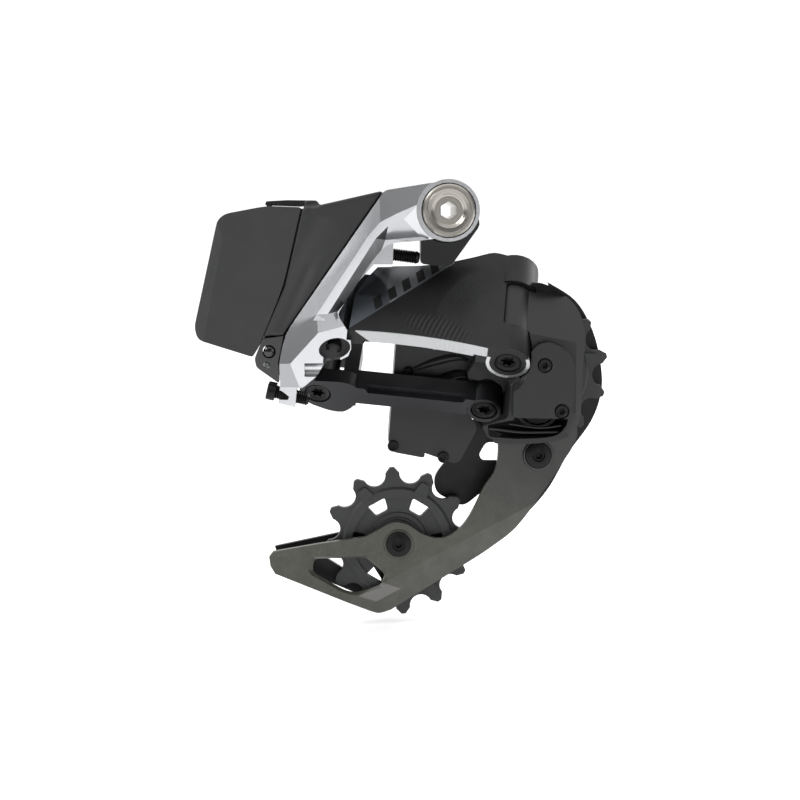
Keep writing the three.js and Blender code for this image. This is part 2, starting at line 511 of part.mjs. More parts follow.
function lowerKnuckle() {
  const linkSpace = [
    aheadOfHood(),
    fromGroup(block([-60, -60, B_BARREL.low - 1.1], [-1, 0.5, B_BARREL.high + 1.1]), frameB),
  ];
  const front = shape([slab(P_BODY_FRONT, P_BODY_Y)], linkSpace);
  const rear = slab(P_BODY_REAR, [0, P_BODY_Y[1]]);
  const barrelB = pinRod(frameB, B_BARREL.radius, B_BARREL.low - 1, B_BARREL.high + 1);
  const lugD = pinRod(frameD, D_LUG.radius, D_LUG.low - 1, D_LUG.high);
  const hollow = shape([front, rear, barrelB, lugD], [
    sweptSpace(frameB, B_LOW_EAR.radius + 0.5, [160, 238], 60, -60, B_BARREL.low),
    sweptSpace(frameB, B_HIGH_EAR.radius + 0.5, [160, 238], 60, B_BARREL.high, 80),
    fromGroup(sector(8.2, 12, [230, 305], B_BARREL.high - 0.2, 60), frameB),
    pinRod(frameB, PIN_HOLE, -60, 80, 16),
    sweptSpace(frameD, D_EAR.radius + 0.5, [150, 240], 60, -60, D_LUG.low),
    pinRod(frameD, PIN_HOLE, 0, 12, 16),
    block([-20, P_BODY_Y[1], -90], [70, 40, 0]),
    slab(P_CAVITY, [-30, 5]),
    rodY(6.3, 0, 20, CAGE_PIVOT),
  ]);
  const bosses = COVER_SCREWS.map((at) => rodY(2.4, P_BODY_Y[0], COVER_BOSS_END, at, 16));
  const [[topX, topZ], [sideX, sideZ]] = COVER_SCREWS;
  const ribs = [
    block([topX - 1.2, P_BODY_Y[0], topZ], [topX + 1.2, COVER_BOSS_END, topZ + 4.6]),
    block([sideX, P_BODY_Y[0], sideZ - 1.2], [sideX + 5.5, COVER_BOSS_END, sideZ + 1.2]),
  ];
  const holes = COVER_SCREWS.map((at) => rodY(COVER_SCREW_RADIUS + 0.2, -30, -12, at, 10));
  return shape([hollow, ...bosses, ...ribs], holes);
}
piece('lower_knuckle', lowerKnuckle(), DARK_PAINT);

function lowerKnuckleCover() {
  return shape([slab(P_COVER, P_COVER_Y)], [
    aheadOfHood(),
    pinRod(frameB, B_LOW_EAR.radius + 0.6, -60, B_BARREL.low, 24),
    ...COVER_SCREWS.map((at) => rodY(1.5, -30, 0, at, 10)),
    ...COVER_SCREWS.map((at) => rodY(2.5, -30, P_COVER_Y[0] + 1.4, at, 16)),
  ]);
}
piece('lower_knuckle_cover', lowerKnuckleCover(), DARK_PAINT);

COVER_SCREWS.forEach((at, i) => {
  const mesh = piece(`cover_screw_${i + 1}`, screw(2.1, 1.3, COVER_SCREW_RADIUS, 5), BLACK_STEEL);
  mesh.rotation.x = Math.PI / 2;
  mesh.position.set(at[0], P_COVER_Y[0] + 1.1, at[1]);
});

piece('cage_pivot_bush', ringY(4.3, 6, [5, P_BODY_Y[1]], CAGE_PIVOT), BRONZE);
piece('cage_spring', ringY(6.8, 8, [-12, 4.4], CAGE_PIVOT, 20), STEEL);
piece('clutch_damper', ringY(4.3, 6.4, [-13, 4.4], CAGE_PIVOT), BLACK_STEEL);

// ---------------------------------------------------------------- drive motor

const MOTOR_BOX = [[-15.8, -43.5, 1.5], [-18.6, -79.6, 2], [-16.8, -82.4, 1], [-6, -84.5, 1], [-6, -58.5],
  [-3.2, -57.5], [-3.2, -46], [-8, -43.6]];
const MOTOR_FOOT = [[-12, -47], [-16, -79.2], [4.4, -86.5, 1], [6.1, -85.7, 1], [12.5, -74, 2], [9, -69],
  [9, -47]];
const MOTOR_FLANGE = [[-2, -48], [0, -71], [10, -70], [22, -66], [22, -48.5]];
const MOTOR_CAVITY = [[-14.7, -47], [-16.6, -79], [-15.4, -80.2], [-8, -80.2], [-8, -57], [-4.4, -56],
  [-4.4, -48], [-6, -47]];
const MOTOR_AXIS = [-12.3, 15.2];
const WHEEL_CENTRE = [-8, -51.8];
const LID_Y = [19.8, MOTOR_Y[1]];
const UPPER_PULLEY_FORWARD = [21.4, -62.3];  // where the cage carries the upper pulley at its forward stop
const LID_SCREWS = [[-13, -45.2], [-12, -82]];

const pulleySpace = rodY(PULLEY_TIP_RADIUS + 0.9, 14.5, 30, UPPER_PULLEY_FORWARD, 40);

function motorHousing() {
  const box = slab(MOTOR_BOX, [MOTOR_Y[0], LID_Y[0] - GAP]);
  const foot = slab(MOTOR_FOOT, [MOTOR_Y[0], 14]);
  const flange = slab(MOTOR_FLANGE, [MOTOR_Y[0], 10.9]);
  return shape([box, foot, flange], [
    slab(MOTOR_CAVITY, [11, 30]),
    pulleySpace,
    ...LID_SCREWS.map((at) => rodY(1.1, 12, 30, at, 10)),
    fromGroup(block([12, -5.6, -3], [50, 3.6, D_EAR.high + 0.6]), innerLinkFrame),
  ]);
}
piece('motor_housing', motorHousing(), DARK_PAINT);

piece('motor_housing_lid', shape([slab(MOTOR_BOX, LID_Y)],
  [pulleySpace, ...LID_SCREWS.map((at) => rodY(1.1, 10, 30, at, 10))]), DARK_PAINT);
LID_SCREWS.forEach((at, i) => {
  const mesh = piece(`lid_screw_${i + 1}`, screw(1.2, 0.9, 0.8, 6), BLACK_STEEL);
  mesh.rotation.x = -Math.PI / 2;
  mesh.position.set(at[0], LID_Y[1] + 0.1, at[1]);
});
piece('drive_motor', rodZ(3.2, -79.5, -60, MOTOR_AXIS, 20), STEEL);
piece('drive_worm', rodZ(1.3, -59.6, -47.4, MOTOR_AXIS, 10), BRASS);

function gearWheel(teeth, rootRadius, tipRadius) {
  const wheel = new THREE.Shape();
  for (let i = 0; i < teeth; i += 1) {
    const start = (2 * Math.PI * i) / teeth;
    const step = (2 * Math.PI) / teeth;
    [[rootRadius, 0], [rootRadius, 0.4], [tipRadius, 0.55], [tipRadius, 0.85]].forEach(([r, part], k) => {
      const angle = start + part * step;
      wheel[i + k === 0 ? 'moveTo' : 'lineTo'](r * Math.cos(angle), r * Math.sin(angle));
    });
  }
  wheel.closePath();
  return wheel;
}
const wheel = piece('drive_wheel', slab(gearWheel(14, 2, 2.5), [13.8, 16.6]), BRASS);
wheel.position.set(WHEEL_CENTRE[0], 0, WHEEL_CENTRE[1]);

// ---------------------------------------------------------------- cage

const [pivotX, pivotZ] = CAGE_PIVOT;

/** The outline of the cage's outer plate: an arm that curves down from the pivot to a long tail. */
function outerPlateOutline() {
  const path = new THREE.Shape();
  path.moveTo(18.9, pivotZ);
  path.lineTo(19.4, -86);
  path.splineThru([[14.6, -95.4], [11, -103], [6.6, -109.4], [0.2, -113.1]]
    .map(([x, z]) => new THREE.Vector2(x, z)));
  path.splineThru([[-6.2, -111.8], [-11.6, -108.4], [-16.6, -107.4], [-22, -110], [-26.4, -112.4]]
    .map(([x, z]) => new THREE.Vector2(x, z)));
  path.lineTo(-59, -117);
  path.quadraticCurveTo(-60.6, -120.2, -58, -125.2);
  path.lineTo(-24.4, -139.3);
  path.quadraticCurveTo(-20.8, -140.5, -17.4, -138.8);
  path.lineTo(12, -120.4);
  path.splineThru([[18, -116.3], [26.3, -109.5], [35.5, -96.9], [42.4, -86.4], [46.2, -80], [47, -74]]
    .map(([x, z]) => new THREE.Vector2(x, z)));
  path.lineTo(42, -57);
  path.quadraticCurveTo(40, -46.5, 32, -46.5);
  path.quadraticCurveTo(22, -46.5, 20, -55);
  path.closePath();
  return path;
}
const TAIL_WINDOW = [[-44.6, -120.2, 1], [-26.2, -120.1, 1.5], [-19.6, -126, 1.5], [-21, -129.8, 1],
  [-29.6, -132.6, 1.5], [-33.6, -131.8, 1], [-45, -125.2, 1]];

/** The outline of the inner plate: it also guards the chain around the front of the upper pulley. */
function innerPlateOutline() {
  const path = new THREE.Shape();
  path.moveTo(38, -24.5);
  path.splineThru([[47.8, -31], [54, -41.5], [57, -53], [57.4, -63], [54, -73.5]]
    .map(([x, z]) => new THREE.Vector2(x, z)));
  path.splineThru([[46, -85], [38, -99], [26.4, -111.2], [12, -121.5]]
    .map(([x, z]) => new THREE.Vector2(x, z)));
  path.lineTo(-18, -137.6);
  path.quadraticCurveTo(-20.5, -138.9, -24, -137.6);
  path.lineTo(-57, -123);
  path.lineTo(-58.4, -117.8);
  path.lineTo(-27.5, -111.4);
  path.splineThru([[-21, -108.6], [-12, -107.6], [-6.5, -110.8], [-1, -113.4]]
    .map(([x, z]) => new THREE.Vector2(x, z)));
  path.splineThru([[7, -112], [12.4, -107], [15.4, -101.6], [14.6, -99.2], [8.5, -103.4]]
    .map(([x, z]) => new THREE.Vector2(x, z)));
  path.splineThru([[2.3, -100.8], [-1.1, -98.1], [-1.5, -93.2], [1.9, -88.1], [9.2, -80.3]]
    .map(([x, z]) => new THREE.Vector2(x, z)));
  path.lineTo(17, -60);
  path.quadraticCurveTo(20, -46, 32, -44);
  path.lineTo(42, -42);
  path.closePath();
  return path;
}

function platePlus(path, depths, windows, holes) {
  const through = [depths[0] - 1, depths[1] + 1];
  return shape([slab(path, depths, 4)], [...windows.map((window) => slab(window, through)),
    ...holes.map(([at, radius]) => rodY(radius, ...through, at, 16))]);
}
piece('cage_outer_plate', platePlus(outerPlateOutline(), OUTER_PLATE_Y, [TAIL_WINDOW],
  [[LOWER_PULLEY, 2.8], [UPPER_PULLEY, 2.8], [STOP_SCREW, 2.3], [CAGE_PIVOT, 3.3]]), CARBON);
piece('cage_inner_plate', platePlus(innerPlateOutline(), INNER_PLATE_Y,
  [[[-42, -121, 1], [-27, -119.8, 1], [-20, -131, 1], [-24, -132.5, 1]],
    [[14, -85.4, 1], [16.5, -81, 1], [22, -81, 1], [22, -87.5, 1], [15.2, -87.5, 1]]],
  [[LOWER_PULLEY, 2.8], [UPPER_PULLEY, 2.8]]), INNER_PLATE);

const axle = new THREE.LatheGeometry([[0, -14.6], [4, -14.6], [4, 11.2], [3, 11.2], [3, 13.2], [0, 13.2]]
  .map(([r, y]) => new THREE.Vector2(r, y)), 20).translate(pivotX, 0, pivotZ);
piece('cage_axle', axle, STEEL);

const stopScrew = screw(3.6, 1.4, 2, 2, 0.5);
const stop = piece('cage_stop_screw', stopScrew, BLACK_STEEL);
stop.rotation.x = Math.PI / 2;
stop.position.set(STOP_SCREW[0], OUTER_PLATE_Y[0] - GAP, STOP_SCREW[1]);

// ---------------------------------------------------------------- pulleys

/** The profile of a chain pulley: rollers sit between the teeth. */
function pulleyOutline(firstTooth) {
  const pitchRadius = CHAIN_PITCH / 2 / Math.sin(Math.PI / PULLEY_TEETH);
  const path = new THREE.Shape();
  const step = (2 * Math.PI) / PULLEY_TEETH;
  const tipHalf = 1.1 / PULLEY_TIP_RADIUS;
  for (let i = 0; i < PULLEY_TEETH; i += 1) {
    const tooth = firstTooth + i * step;
    const valley = tooth + step / 2;
    const tip = [tooth - tipHalf, tooth + tipHalf];
    tip.forEach((angle, k) => {
      const drawTo = i + k === 0 ? 'moveTo' : 'lineTo';
      path[drawTo](PULLEY_TIP_RADIUS * Math.cos(angle), PULLEY_TIP_RADIUS * Math.sin(angle));
    });
    const centre = [pitchRadius * Math.cos(valley), pitchRadius * Math.sin(valley)];
    for (let k = 0; k <= 4; k += 1) {
      const angle = valley + Math.PI + (k - 2) * 40 * DEG * -1;
      path.lineTo(centre[0] + ROLLER_RADIUS * Math.cos(angle), centre[1] + ROLLER_RADIUS * Math.sin(angle));
    }
  }
  path.closePath();
  return path;
}

function pulley(firstTooth, firstWindow) {
  const windows = [];
  for (let i = 0; i < 6; i += 1) {
    const angle = firstWindow + i * 60 * DEG;
    windows.push(rodY(2.9, 0, 40, [13.7 * Math.cos(angle), 13.7 * Math.sin(angle)], 10));
  }
  const bore = rodY(PULLEY_BORE, 0, 40, [0, 0], 20);
  return shape([slab(pulleyOutline(firstTooth), PULLEY_Y)], [bore, ...windows]);
}

const BEARING_Y = [13.8, 22.2];
const SEAL_Y = [[14, 15.2], [20.8, 22]];
const PULLEY_PLACES = [['upper', UPPER_PULLEY, 11.7, 30], ['lower', LOWER_PULLEY, 4.5, 58.8]];
PULLEY_PLACES.forEach(([which, [x, z], tooth, window]) => {
  const group = new THREE.Group();
  group.position.set(x, 0, z);
  derailleur.add(group);
  piece(`${which}_pulley`, pulley(tooth * DEG, window * DEG), PULLEY_PLASTIC, group);
  const bearing = ringY(PULLEY_BOLT_RADIUS + 0.2, PULLEY_BORE - GAP, BEARING_Y);
  piece(`${which}_pulley_bearing`, bearing, STEEL, group);
  ['outer', 'inner'].forEach((side, i) => {
    piece(`${which}_pulley_seal_${side}`, ringY(PULLEY_BORE, 8, SEAL_Y[i]), RUBBER, group);
  });
  const inboard = which === 'upper';
  const boltSolid = screw(3.8, 1.5, PULLEY_BOLT_RADIUS, inboard ? 12.9 : 13);
  const bolt = piece(`${which}_pulley_bolt`, boltSolid, BLACK_STEEL, group);
  bolt.rotation.x = inboard ? -Math.PI / 2 : Math.PI / 2;
  bolt.position.y = inboard ? INNER_PLATE_Y[1] + GAP : OUTER_PLATE_Y[0] - GAP;
});

derailleur.updateMatrixWorld(true);
export default derailleur;
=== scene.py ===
import json
import math

import bmesh
import bpy
from mathutils import Matrix, Vector


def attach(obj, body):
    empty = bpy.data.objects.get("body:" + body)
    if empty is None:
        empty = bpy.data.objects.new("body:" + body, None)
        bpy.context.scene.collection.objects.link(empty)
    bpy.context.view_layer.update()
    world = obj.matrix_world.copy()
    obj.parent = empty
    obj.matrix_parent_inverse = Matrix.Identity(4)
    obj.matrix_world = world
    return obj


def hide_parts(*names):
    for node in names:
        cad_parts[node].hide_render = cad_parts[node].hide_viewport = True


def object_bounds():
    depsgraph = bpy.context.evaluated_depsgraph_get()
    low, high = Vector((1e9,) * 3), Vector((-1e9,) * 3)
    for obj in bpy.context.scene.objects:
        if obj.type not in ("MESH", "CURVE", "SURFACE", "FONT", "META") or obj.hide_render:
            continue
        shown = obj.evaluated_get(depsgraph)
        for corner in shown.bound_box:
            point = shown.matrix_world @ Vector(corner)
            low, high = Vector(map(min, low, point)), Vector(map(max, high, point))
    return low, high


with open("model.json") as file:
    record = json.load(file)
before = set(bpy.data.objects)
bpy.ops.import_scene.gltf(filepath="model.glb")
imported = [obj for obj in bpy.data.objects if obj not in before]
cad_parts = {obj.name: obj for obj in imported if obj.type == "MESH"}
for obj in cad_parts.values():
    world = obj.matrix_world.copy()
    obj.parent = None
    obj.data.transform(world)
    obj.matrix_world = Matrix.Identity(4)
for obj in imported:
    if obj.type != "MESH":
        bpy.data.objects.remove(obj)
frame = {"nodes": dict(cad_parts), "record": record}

cad_low, cad_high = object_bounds()

BODIES = {node: body for body, nodes in frame["record"]["behaviour"]["bodies"].items() for node in nodes}
SLOTS = {part["node"]: part["material_slot"] for part in frame["record"]["subparts"]}

MM = 0.001
DEG = math.pi / 180

# The pins' frame: X across the pins, Y inboard and down, Z along the pins
PIN_LEAN = 11 * DEG
PIN_SLANT = 45 * DEG
LINK_ANGLE = -7.6 * DEG
LINK_LENGTH = 56.5
PIN_SPREAD = (-2.2, 26.5)
PIN_B_CENTRE = (19.2, -20, -47.7)

CAGE_PIVOT = (30.1, -63.6)
UPPER_PULLEY = (32.4, -55.1)
LOWER_PULLEY = (-15, -115.1)
STOP_SCREW = (33.6, -84)

# The crease along the outer plate's lower band, from its front end
CREASE_START = (32.2, -100.9)
CREASE = Vector((-66.8, -35.3)).normalized()


# ------------------------ mesh helpers

def pin_frame(centre, turn=0):
    """The matrix of a frame on a pin, in millimetres."""
    return (Matrix.Translation(centre) @ Matrix.Rotation(PIN_LEAN, 4, "Y")
            @ Matrix.Rotation(-PIN_SLANT, 4, "X") @ Matrix.Rotation(turn, 4, "Z"))


FRAME_B = pin_frame(PIN_B_CENTRE)
LINK_STEP = Vector((LINK_LENGTH * math.cos(LINK_ANGLE), LINK_LENGTH * math.sin(LINK_ANGLE), 0))
PIN_A_CENTRE = FRAME_B @ -LINK_STEP
PIN_C_CENTRE = FRAME_B @ (Vector((*PIN_SPREAD, 0)) - LINK_STEP)
PIN_D_CENTRE = FRAME_B @ Vector((*PIN_SPREAD, 0))
FRAME_C = pin_frame(PIN_C_CENTRE)
FRAME_D = pin_frame(PIN_D_CENTRE)
OUTER_LINK_FRAME = pin_frame(PIN_A_CENTRE, LINK_ANGLE)
INNER_LINK_FRAME = pin_frame(PIN_C_CENTRE, LINK_ANGLE)


def new_object(name, data):
    built = bpy.data.objects.new(name, data)
    bpy.context.scene.collection.objects.link(built)
    return built


def mesh_object(name, vertices, faces):
    """An object from vertices in millimetres, with its faces turned outwards."""
    mesh = bpy.data.meshes.new(name)
    mesh.from_pydata([Vector(v) * MM for v in vertices], [], faces)
    work = bmesh.new()
    work.from_mesh(mesh)
    bmesh.ops.recalc_face_normals(work, faces=work.faces)
    work.to_mesh(mesh)
    work.free()
    return new_object(name, mesh)


def polar(radius, angle, centre=(0, 0)):
    return centre[0] + radius * math.cos(angle), centre[1] + radius * math.sin(angle)


def placed(x, z, depth, matrix=None):
    """A point at a depth: along Y in the part's frame, or along Z in a given frame."""
    return Vector((x, depth, z)) if matrix is None else matrix @ Vector((x, z, depth))


def rounded(points, steps=5):
    """Outline points from [x, z, corner radius] entries."""
    result = []
    count = len(points)
    for i, point in enumerate(points):
        corner = Vector(point[:2])
        radius = point[2] if len(point) > 2 else 0
        before = Vector(points[i - 1][:2]) - corner
        after = Vector(points[(i + 1) % count][:2]) - corner
        reach = min(radius, before.length * 0.45, after.length * 0.45)
        if reach == 0:
            result.append(corner)
            continue
        enter = corner + before.normalized() * reach
        leave = corner + after.normalized() * reach
        for step in range(steps + 1):
            t = step / steps
            result.append(enter * (1 - t) ** 2 + corner * 2 * t * (1 - t) + leave * t ** 2)
    return result


def spline(points, steps):
    """A smooth curve through points, with steps between each two."""
    result = []
    vectors = [Vector(p) for p in points]
    for i in range(len(vectors) - 1):
        before = vectors[max(i - 1, 0)]
        start, end = vectors[i], vectors[i + 1]
        after = vectors[min(i + 2, len(vectors) - 1)]
        for step in range(steps):
            t = step / steps
            result.append(0.5 * (2 * start + (end - before) * t
                                 + (2 * before - 5 * start + 4 * end - after) * t ** 2
                                 + (3 * start - before - 3 * end + after) * t ** 3))
    result.append(vectors[-1])
    return result


def prism(name, points, low, high, matrix=None, taper=0):
    """A closed prism of an outline, from one depth to another. taper moves the far outline's
    points outwards from their middle by that share."""
    flat = [Vector(p[:2]) for p in points]
    middle = sum(flat, Vector((0, 0))) / len(flat)
    vertices = [placed(*(point + (point - middle) * grow), depth, matrix)
                for depth, grow in ((low, 0), (high, taper)) for point in flat]
    count = len(flat)
    faces = [tuple(range(count)), tuple(range(2 * count - 1, count - 1, -1))]
    faces += [(i, i + count, (i + 1) % count + count, (i + 1) % count) for i in range(count)]
    return mesh_object(name, vertices, faces)


def lathe(name, profile, centre=(0, 0), sides=64, matrix=None):
    """A closed solid of revolution. profile is [radius, depth] points; one that starts off the
    axis is closed into a ring."""
    rings = []
    vertices = []
    for radius, depth in profile:
        steps = range(sides if radius else 1)
        rings.append([len(vertices) + k for k in steps])
        vertices += [placed(*polar(radius, 2 * math.pi * k / sides, centre), depth, matrix) for k in steps]
    pairs = list(zip(rings, rings[1:]))
    if profile[0][0] > 0:
        pairs.append((rings[-1], rings[0]))
    faces = []
    for first, second in pairs:
        for k in range(sides):
            after = (k + 1) % sides
            corners = (first[k % len(first)], second[k % len(second)],
                       second[after % len(second)], first[after % len(first)])
            face = tuple(dict.fromkeys(corners))
            if len(face) > 2:
                faces.append(face)
    return mesh_object(name, vertices, faces)


def bake(built):
    """Applies an object's modifiers."""
    evaluated = built.evaluated_get(bpy.context.evaluated_depsgraph_get())
    mesh = bpy.data.meshes.new_from_object(evaluated)
    built.modifiers.clear()
    built.data = mesh
    return built


def combine(built, others, operation):
    """Joins other objects to one, or cuts them out of it, and removes them."""
    for other in others:
        modifier = built.modifiers.new(operation, "BOOLEAN")
        modifier.operation = operation
        modifier.solver = "EXACT"
        modifier.object = other
    bpy.context.view_layer.update()
    bake(built)
    for other in others:
        bpy.data.objects.remove(other)
    return built


def cut(built, *cutters):
    return combine(built, cutters, "DIFFERENCE")


def join(built, *others):
    return combine(built, others, "UNION")


WELD_REACH = 0.004 * MM
FLAT_ANGLE = 1.5 * DEG


def copy_of(node, name):
    """A welded copy of a CAD node, without needless points on its flat faces."""
    mesh = frame["nodes"][node].data.copy()
    mesh.materials.clear()
    work = bmesh.new()
    work.from_mesh(mesh)
    bmesh.ops.remove_doubles(work, verts=work.verts, dist=WELD_REACH)
    bmesh.ops.dissolve_limit(work, angle_limit=FLAT_ANGLE, verts=work.verts, edges=work.edges)
    bmesh.ops.triangulate(work, faces=work.faces)
    work.to_mesh(mesh)
    work.free()
    stored = mesh.attributes.get("custom_normal")
    if stored:
        mesh.attributes.remove(stored)
    return new_object(name, mesh)


def crisp(built, angle=25):
    """Shades smooth, but keeps the creases over an angle."""
    built.data.shade_smooth()
    built.data.set_sharp_from_angle(angle=angle * DEG)
    return built


def soften(built, width, segments, angle=34):
    """Rounds the sharp edges and shades the rest smooth."""
    modifier = built.modifiers.new("rounded edges", "BEVEL")
    modifier.width = width * MM
    modifier.segments = segments
    modifier.limit_method = "ANGLE"
    modifier.angle_limit = angle * DEG
    modifier.harden_normals = True
    modifier.miter_outer = "MITER_ARC"
    built.data.shade_smooth()
    return built


def cast(built, voxel, smoothing):
    """Rounds a whole body like a moulded or cast one: remeshes it finely and relaxes it."""
    remesh = built.modifiers.new("even mesh", "REMESH")
    remesh.mode = "VOXEL"
    remesh.voxel_size = voxel * MM
    remesh.use_smooth_shade = True
    relax = built.modifiers.new("relaxed", "CORRECTIVE_SMOOTH")
    relax.iterations = smoothing
    relax.use_only_smooth = True
    return bake(built)


def place(built, body, slot, material, *nodes):
    """Puts a finished piece on its body in place of CAD nodes."""
    built.data.materials.clear()
    built.data.materials.append(material)
    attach(built, body)
    if nodes:
        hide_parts(*nodes)


def stand_for(node, built, material):
    """Puts a finished piece in place of one CAD node, on its body."""
    place(built, BODIES[node], SLOTS[node], material, node)


# ------------------------ materials

# The sockets of a Mix node that carry colours
MIX_COLORS = (6, 7)
MIX_RESULT = 2


def feed(socket, value):
    """Gives a socket a fixed value, or links it to the output that feeds it."""
    if isinstance(value, bpy.types.NodeSocket):
        socket.id_data.links.new(value, socket)
    else:
        socket.default_value = value


def shader_node(tree, kind, inputs, **settings):
    """A new node; inputs pairs its sockets with fixed values or outputs."""
    made = tree.nodes.new(f"ShaderNode{kind}")
    for setting, value in settings.items():
        setattr(made, setting, value)
    for socket, value in inputs.items():
        feed(made.inputs[socket], value)
    return made


def scaled(color, share):
    return tuple(min(1, part * share) for part in color)


class Surface:
    """A node material under construction, with its coordinates in millimetres."""

    def __init__(self, name, color, roughness, metallic=0, coat=0):
        self.material = bpy.data.materials.new(name)
        self.material.use_nodes = True
        self.tree = self.material.node_tree
        self.sockets = self.tree.nodes["Principled BSDF"].inputs
        self.color((*color, 1))
        self.roughness(roughness)
        self.metallic(metallic)
        feed(self.sockets["Coat Weight"], coat)
        feed(self.sockets["Coat Roughness"], 0.15)
        coordinates = self.tree.nodes.new("ShaderNodeTexCoord").outputs
        self.position = self.add("VectorMath", {0: coordinates["Object"], "Scale": 1 / MM}, operation="SCALE")
        self.facing = coordinates["Normal"]
        self.normal = None

    def add(self, kind, inputs, output=0, **settings):
        """The output of a new node in this material."""
        return shader_node(self.tree, kind, inputs, **settings).outputs[output]

    def math(self, operation, *values):
        return self.add("Math", dict(enumerate(values)), operation=operation)

    def product(self, first, *others):
        for other in others:
            first = self.math("MULTIPLY", first, other)
        return first

    def length(self, first, second):
        """The length of a vector with two given parts."""
        return self.math("SQRT", self.math("ADD", self.product(first, first), self.product(second, second)))

    def vector(self, *parts):
        return self.add("CombineXYZ", dict(enumerate(parts)))

    def dot(self, vector, axis):
        return self.add("VectorMath", {0: vector, 1: axis}, "Value", operation="DOT_PRODUCT")

    def along(self, axis, origin=(0, 0, 0)):
        """The distance along a direction, from a point."""
        return self.math("ADD", self.dot(self.position, axis), -Vector(axis).dot(Vector(origin)))

    def stretched(self, *axes):
        """The position in a turned and stretched frame, given by its three axes."""
        return self.vector(*(self.along(axis) for axis in axes))

    def noise(self, scale, detail, vector=None, roughness=0.6):
        return self.add("TexNoise", {"Vector": vector or self.position, "Scale": scale, "Detail": detail,
                                     "Roughness": roughness}, "Fac")

    def cells(self, scale, vector):
        return self.add("TexVoronoi", {"Vector": vector, "Scale": scale}, "Color")

    def spread(self, value, low, high, to_low=0, to_high=1):
        """A value carried from one span over to another, and kept inside it."""
        return self.add("MapRange", {"Value": value, "From Min": low, "From Max": high,
                                     "To Min": to_low, "To Max": to_high}, "Result")

    def blend(self, factor, first, second):
        """A colour between two others; each is a colour or an output."""
        colors = [(*color, 1) if isinstance(color, tuple) else color for color in (first, second)]
        inputs = {"Factor": factor, **dict(zip(MIX_COLORS, colors))}
        return self.add("Mix", inputs, MIX_RESULT, data_type="RGBA")

    def color(self, value):
        self.base = value
        feed(self.sockets["Base Color"], value)

    def roughness(self, value):
        feed(self.sockets["Roughness"], value)

    def metallic(self, value):
        feed(self.sockets["Metallic"], value)

    def bump(self, height, distance):
        """Raises the surface by height times distance in millimetres, over any earlier bump."""
        below = {"Normal": self.normal} if self.normal else {}
        self.normal = self.add("Bump", {"Height": height, "Distance": distance * MM, **below}, "Normal")
        feed(self.sockets["Normal"], self.normal)
        return self


def brushed(name, color, roughness, direction, stripe=14, metallic=1, relief=0.012, shade=0.12, uneven=1):
    """Metal with fine straight brush marks along a direction."""
    surface = Surface(name, color, roughness, metallic)
    along = Vector(direction).normalized()
    side = along.orthogonal().normalized()
    third = along.cross(side)
    marks = surface.noise(1, 4, surface.stretched(along * 0.12, side * stripe, third * stripe))
    clouds = surface.noise(0.09, 2)
    dark = scaled(color, 1 - shade)
    tone = surface.blend(surface.spread(marks, 0.3, 0.7), dark, color)
    surface.color(surface.blend(surface.spread(clouds, 0.35, 0.65, 0, 0.5), tone, dark))
    surface.roughness(surface.spread(marks, 0.25, 0.75, roughness - 0.06 * uneven, roughness + 0.1 * uneven))
    return surface.bump(marks, relief)


def turned(name, color, roughness):
    """Metal with fine marks around the mounting bolt's axis."""
    surface = Surface(name, color, roughness, 1)
    radius = surface.length(surface.along((1, 0, 0)), surface.along((0, 0, 1)))
    marks = surface.noise(9, 3, surface.vector(radius, surface.along((0, 1, 0))))
    surface.color(surface.blend(surface.spread(marks, 0.3, 0.7), scaled(color, 0.82), color))
    surface.roughness(surface.spread(marks, 0.25, 0.75, roughness - 0.05, roughness + 0.1))
    return surface.bump(marks, 0.01)


def blasted(name, color, roughness, metallic):
    """Anodised or painted alloy with a fine even grain."""
    surface = Surface(name, color, roughness, metallic)
    broad = surface.noise(0.12, 3)
    surface.color(surface.blend(surface.spread(broad, 0.2, 0.8), color, scaled(color, 1.08)))
    surface.roughness(surface.spread(broad, 0.3, 0.7, roughness - 0.05, roughness + 0.08))
    return surface.bump(surface.noise(6, 3), 0.006)


def moulded(name, color, roughness, grain=5, relief=0.03, coat=0):
    """Moulded plastic with a fine eroded texture."""
    surface = Surface(name, color, roughness, 0, coat)
    texture = surface.noise(grain, 4, roughness=0.7)
    broad = surface.noise(0.06, 3)
    surface.color(surface.blend(surface.spread(broad, 0.3, 0.7), color, scaled(color, 1.3)))
    surface.roughness(surface.spread(texture, 0.3, 0.7, roughness - 0.06, roughness + 0.06))
    return surface.bump(texture, relief)


# The directions along the knuckle's arm, and across it
ARM_DIRECTION = (-0.53, 0, -0.85)
ARM_ACROSS = (0.833, 0, -0.553)


def facet_shade_painted_alloy():
    """Brushed alloy, bright along the arm's ridge, with painted shade on the facets to its sides."""
    surface = brushed("polished alloy with painted shade", (0.62, 0.63, 0.65), 0.26, ARM_DIRECTION, stripe=4, metallic=0.85,
                      relief=0.00005, shade=0.04, uneven=0.12)
    # Painted shade: facets that face across the arm, on either side of the ridge, get a darker colour
    slope = surface.dot(surface.facing, ARM_ACROSS)
    left_facet_shade = surface.spread(slope, -0.22, -0.06, 0.5, 1)
    right_facet_shade = surface.spread(slope, 0.18, 0.45, 1, 0.22)
    surface.color(surface.blend(surface.product(left_facet_shade, right_facet_shade), (0.06, 0.06, 0.064), surface.base))
    return surface.material


def black_oxide():
    surface = blasted("black oxide", (0.0025, 0.0025, 0.0028), 0.42, 0)
    feed(surface.sockets["Specular IOR Level"], 0.25)
    return surface.material
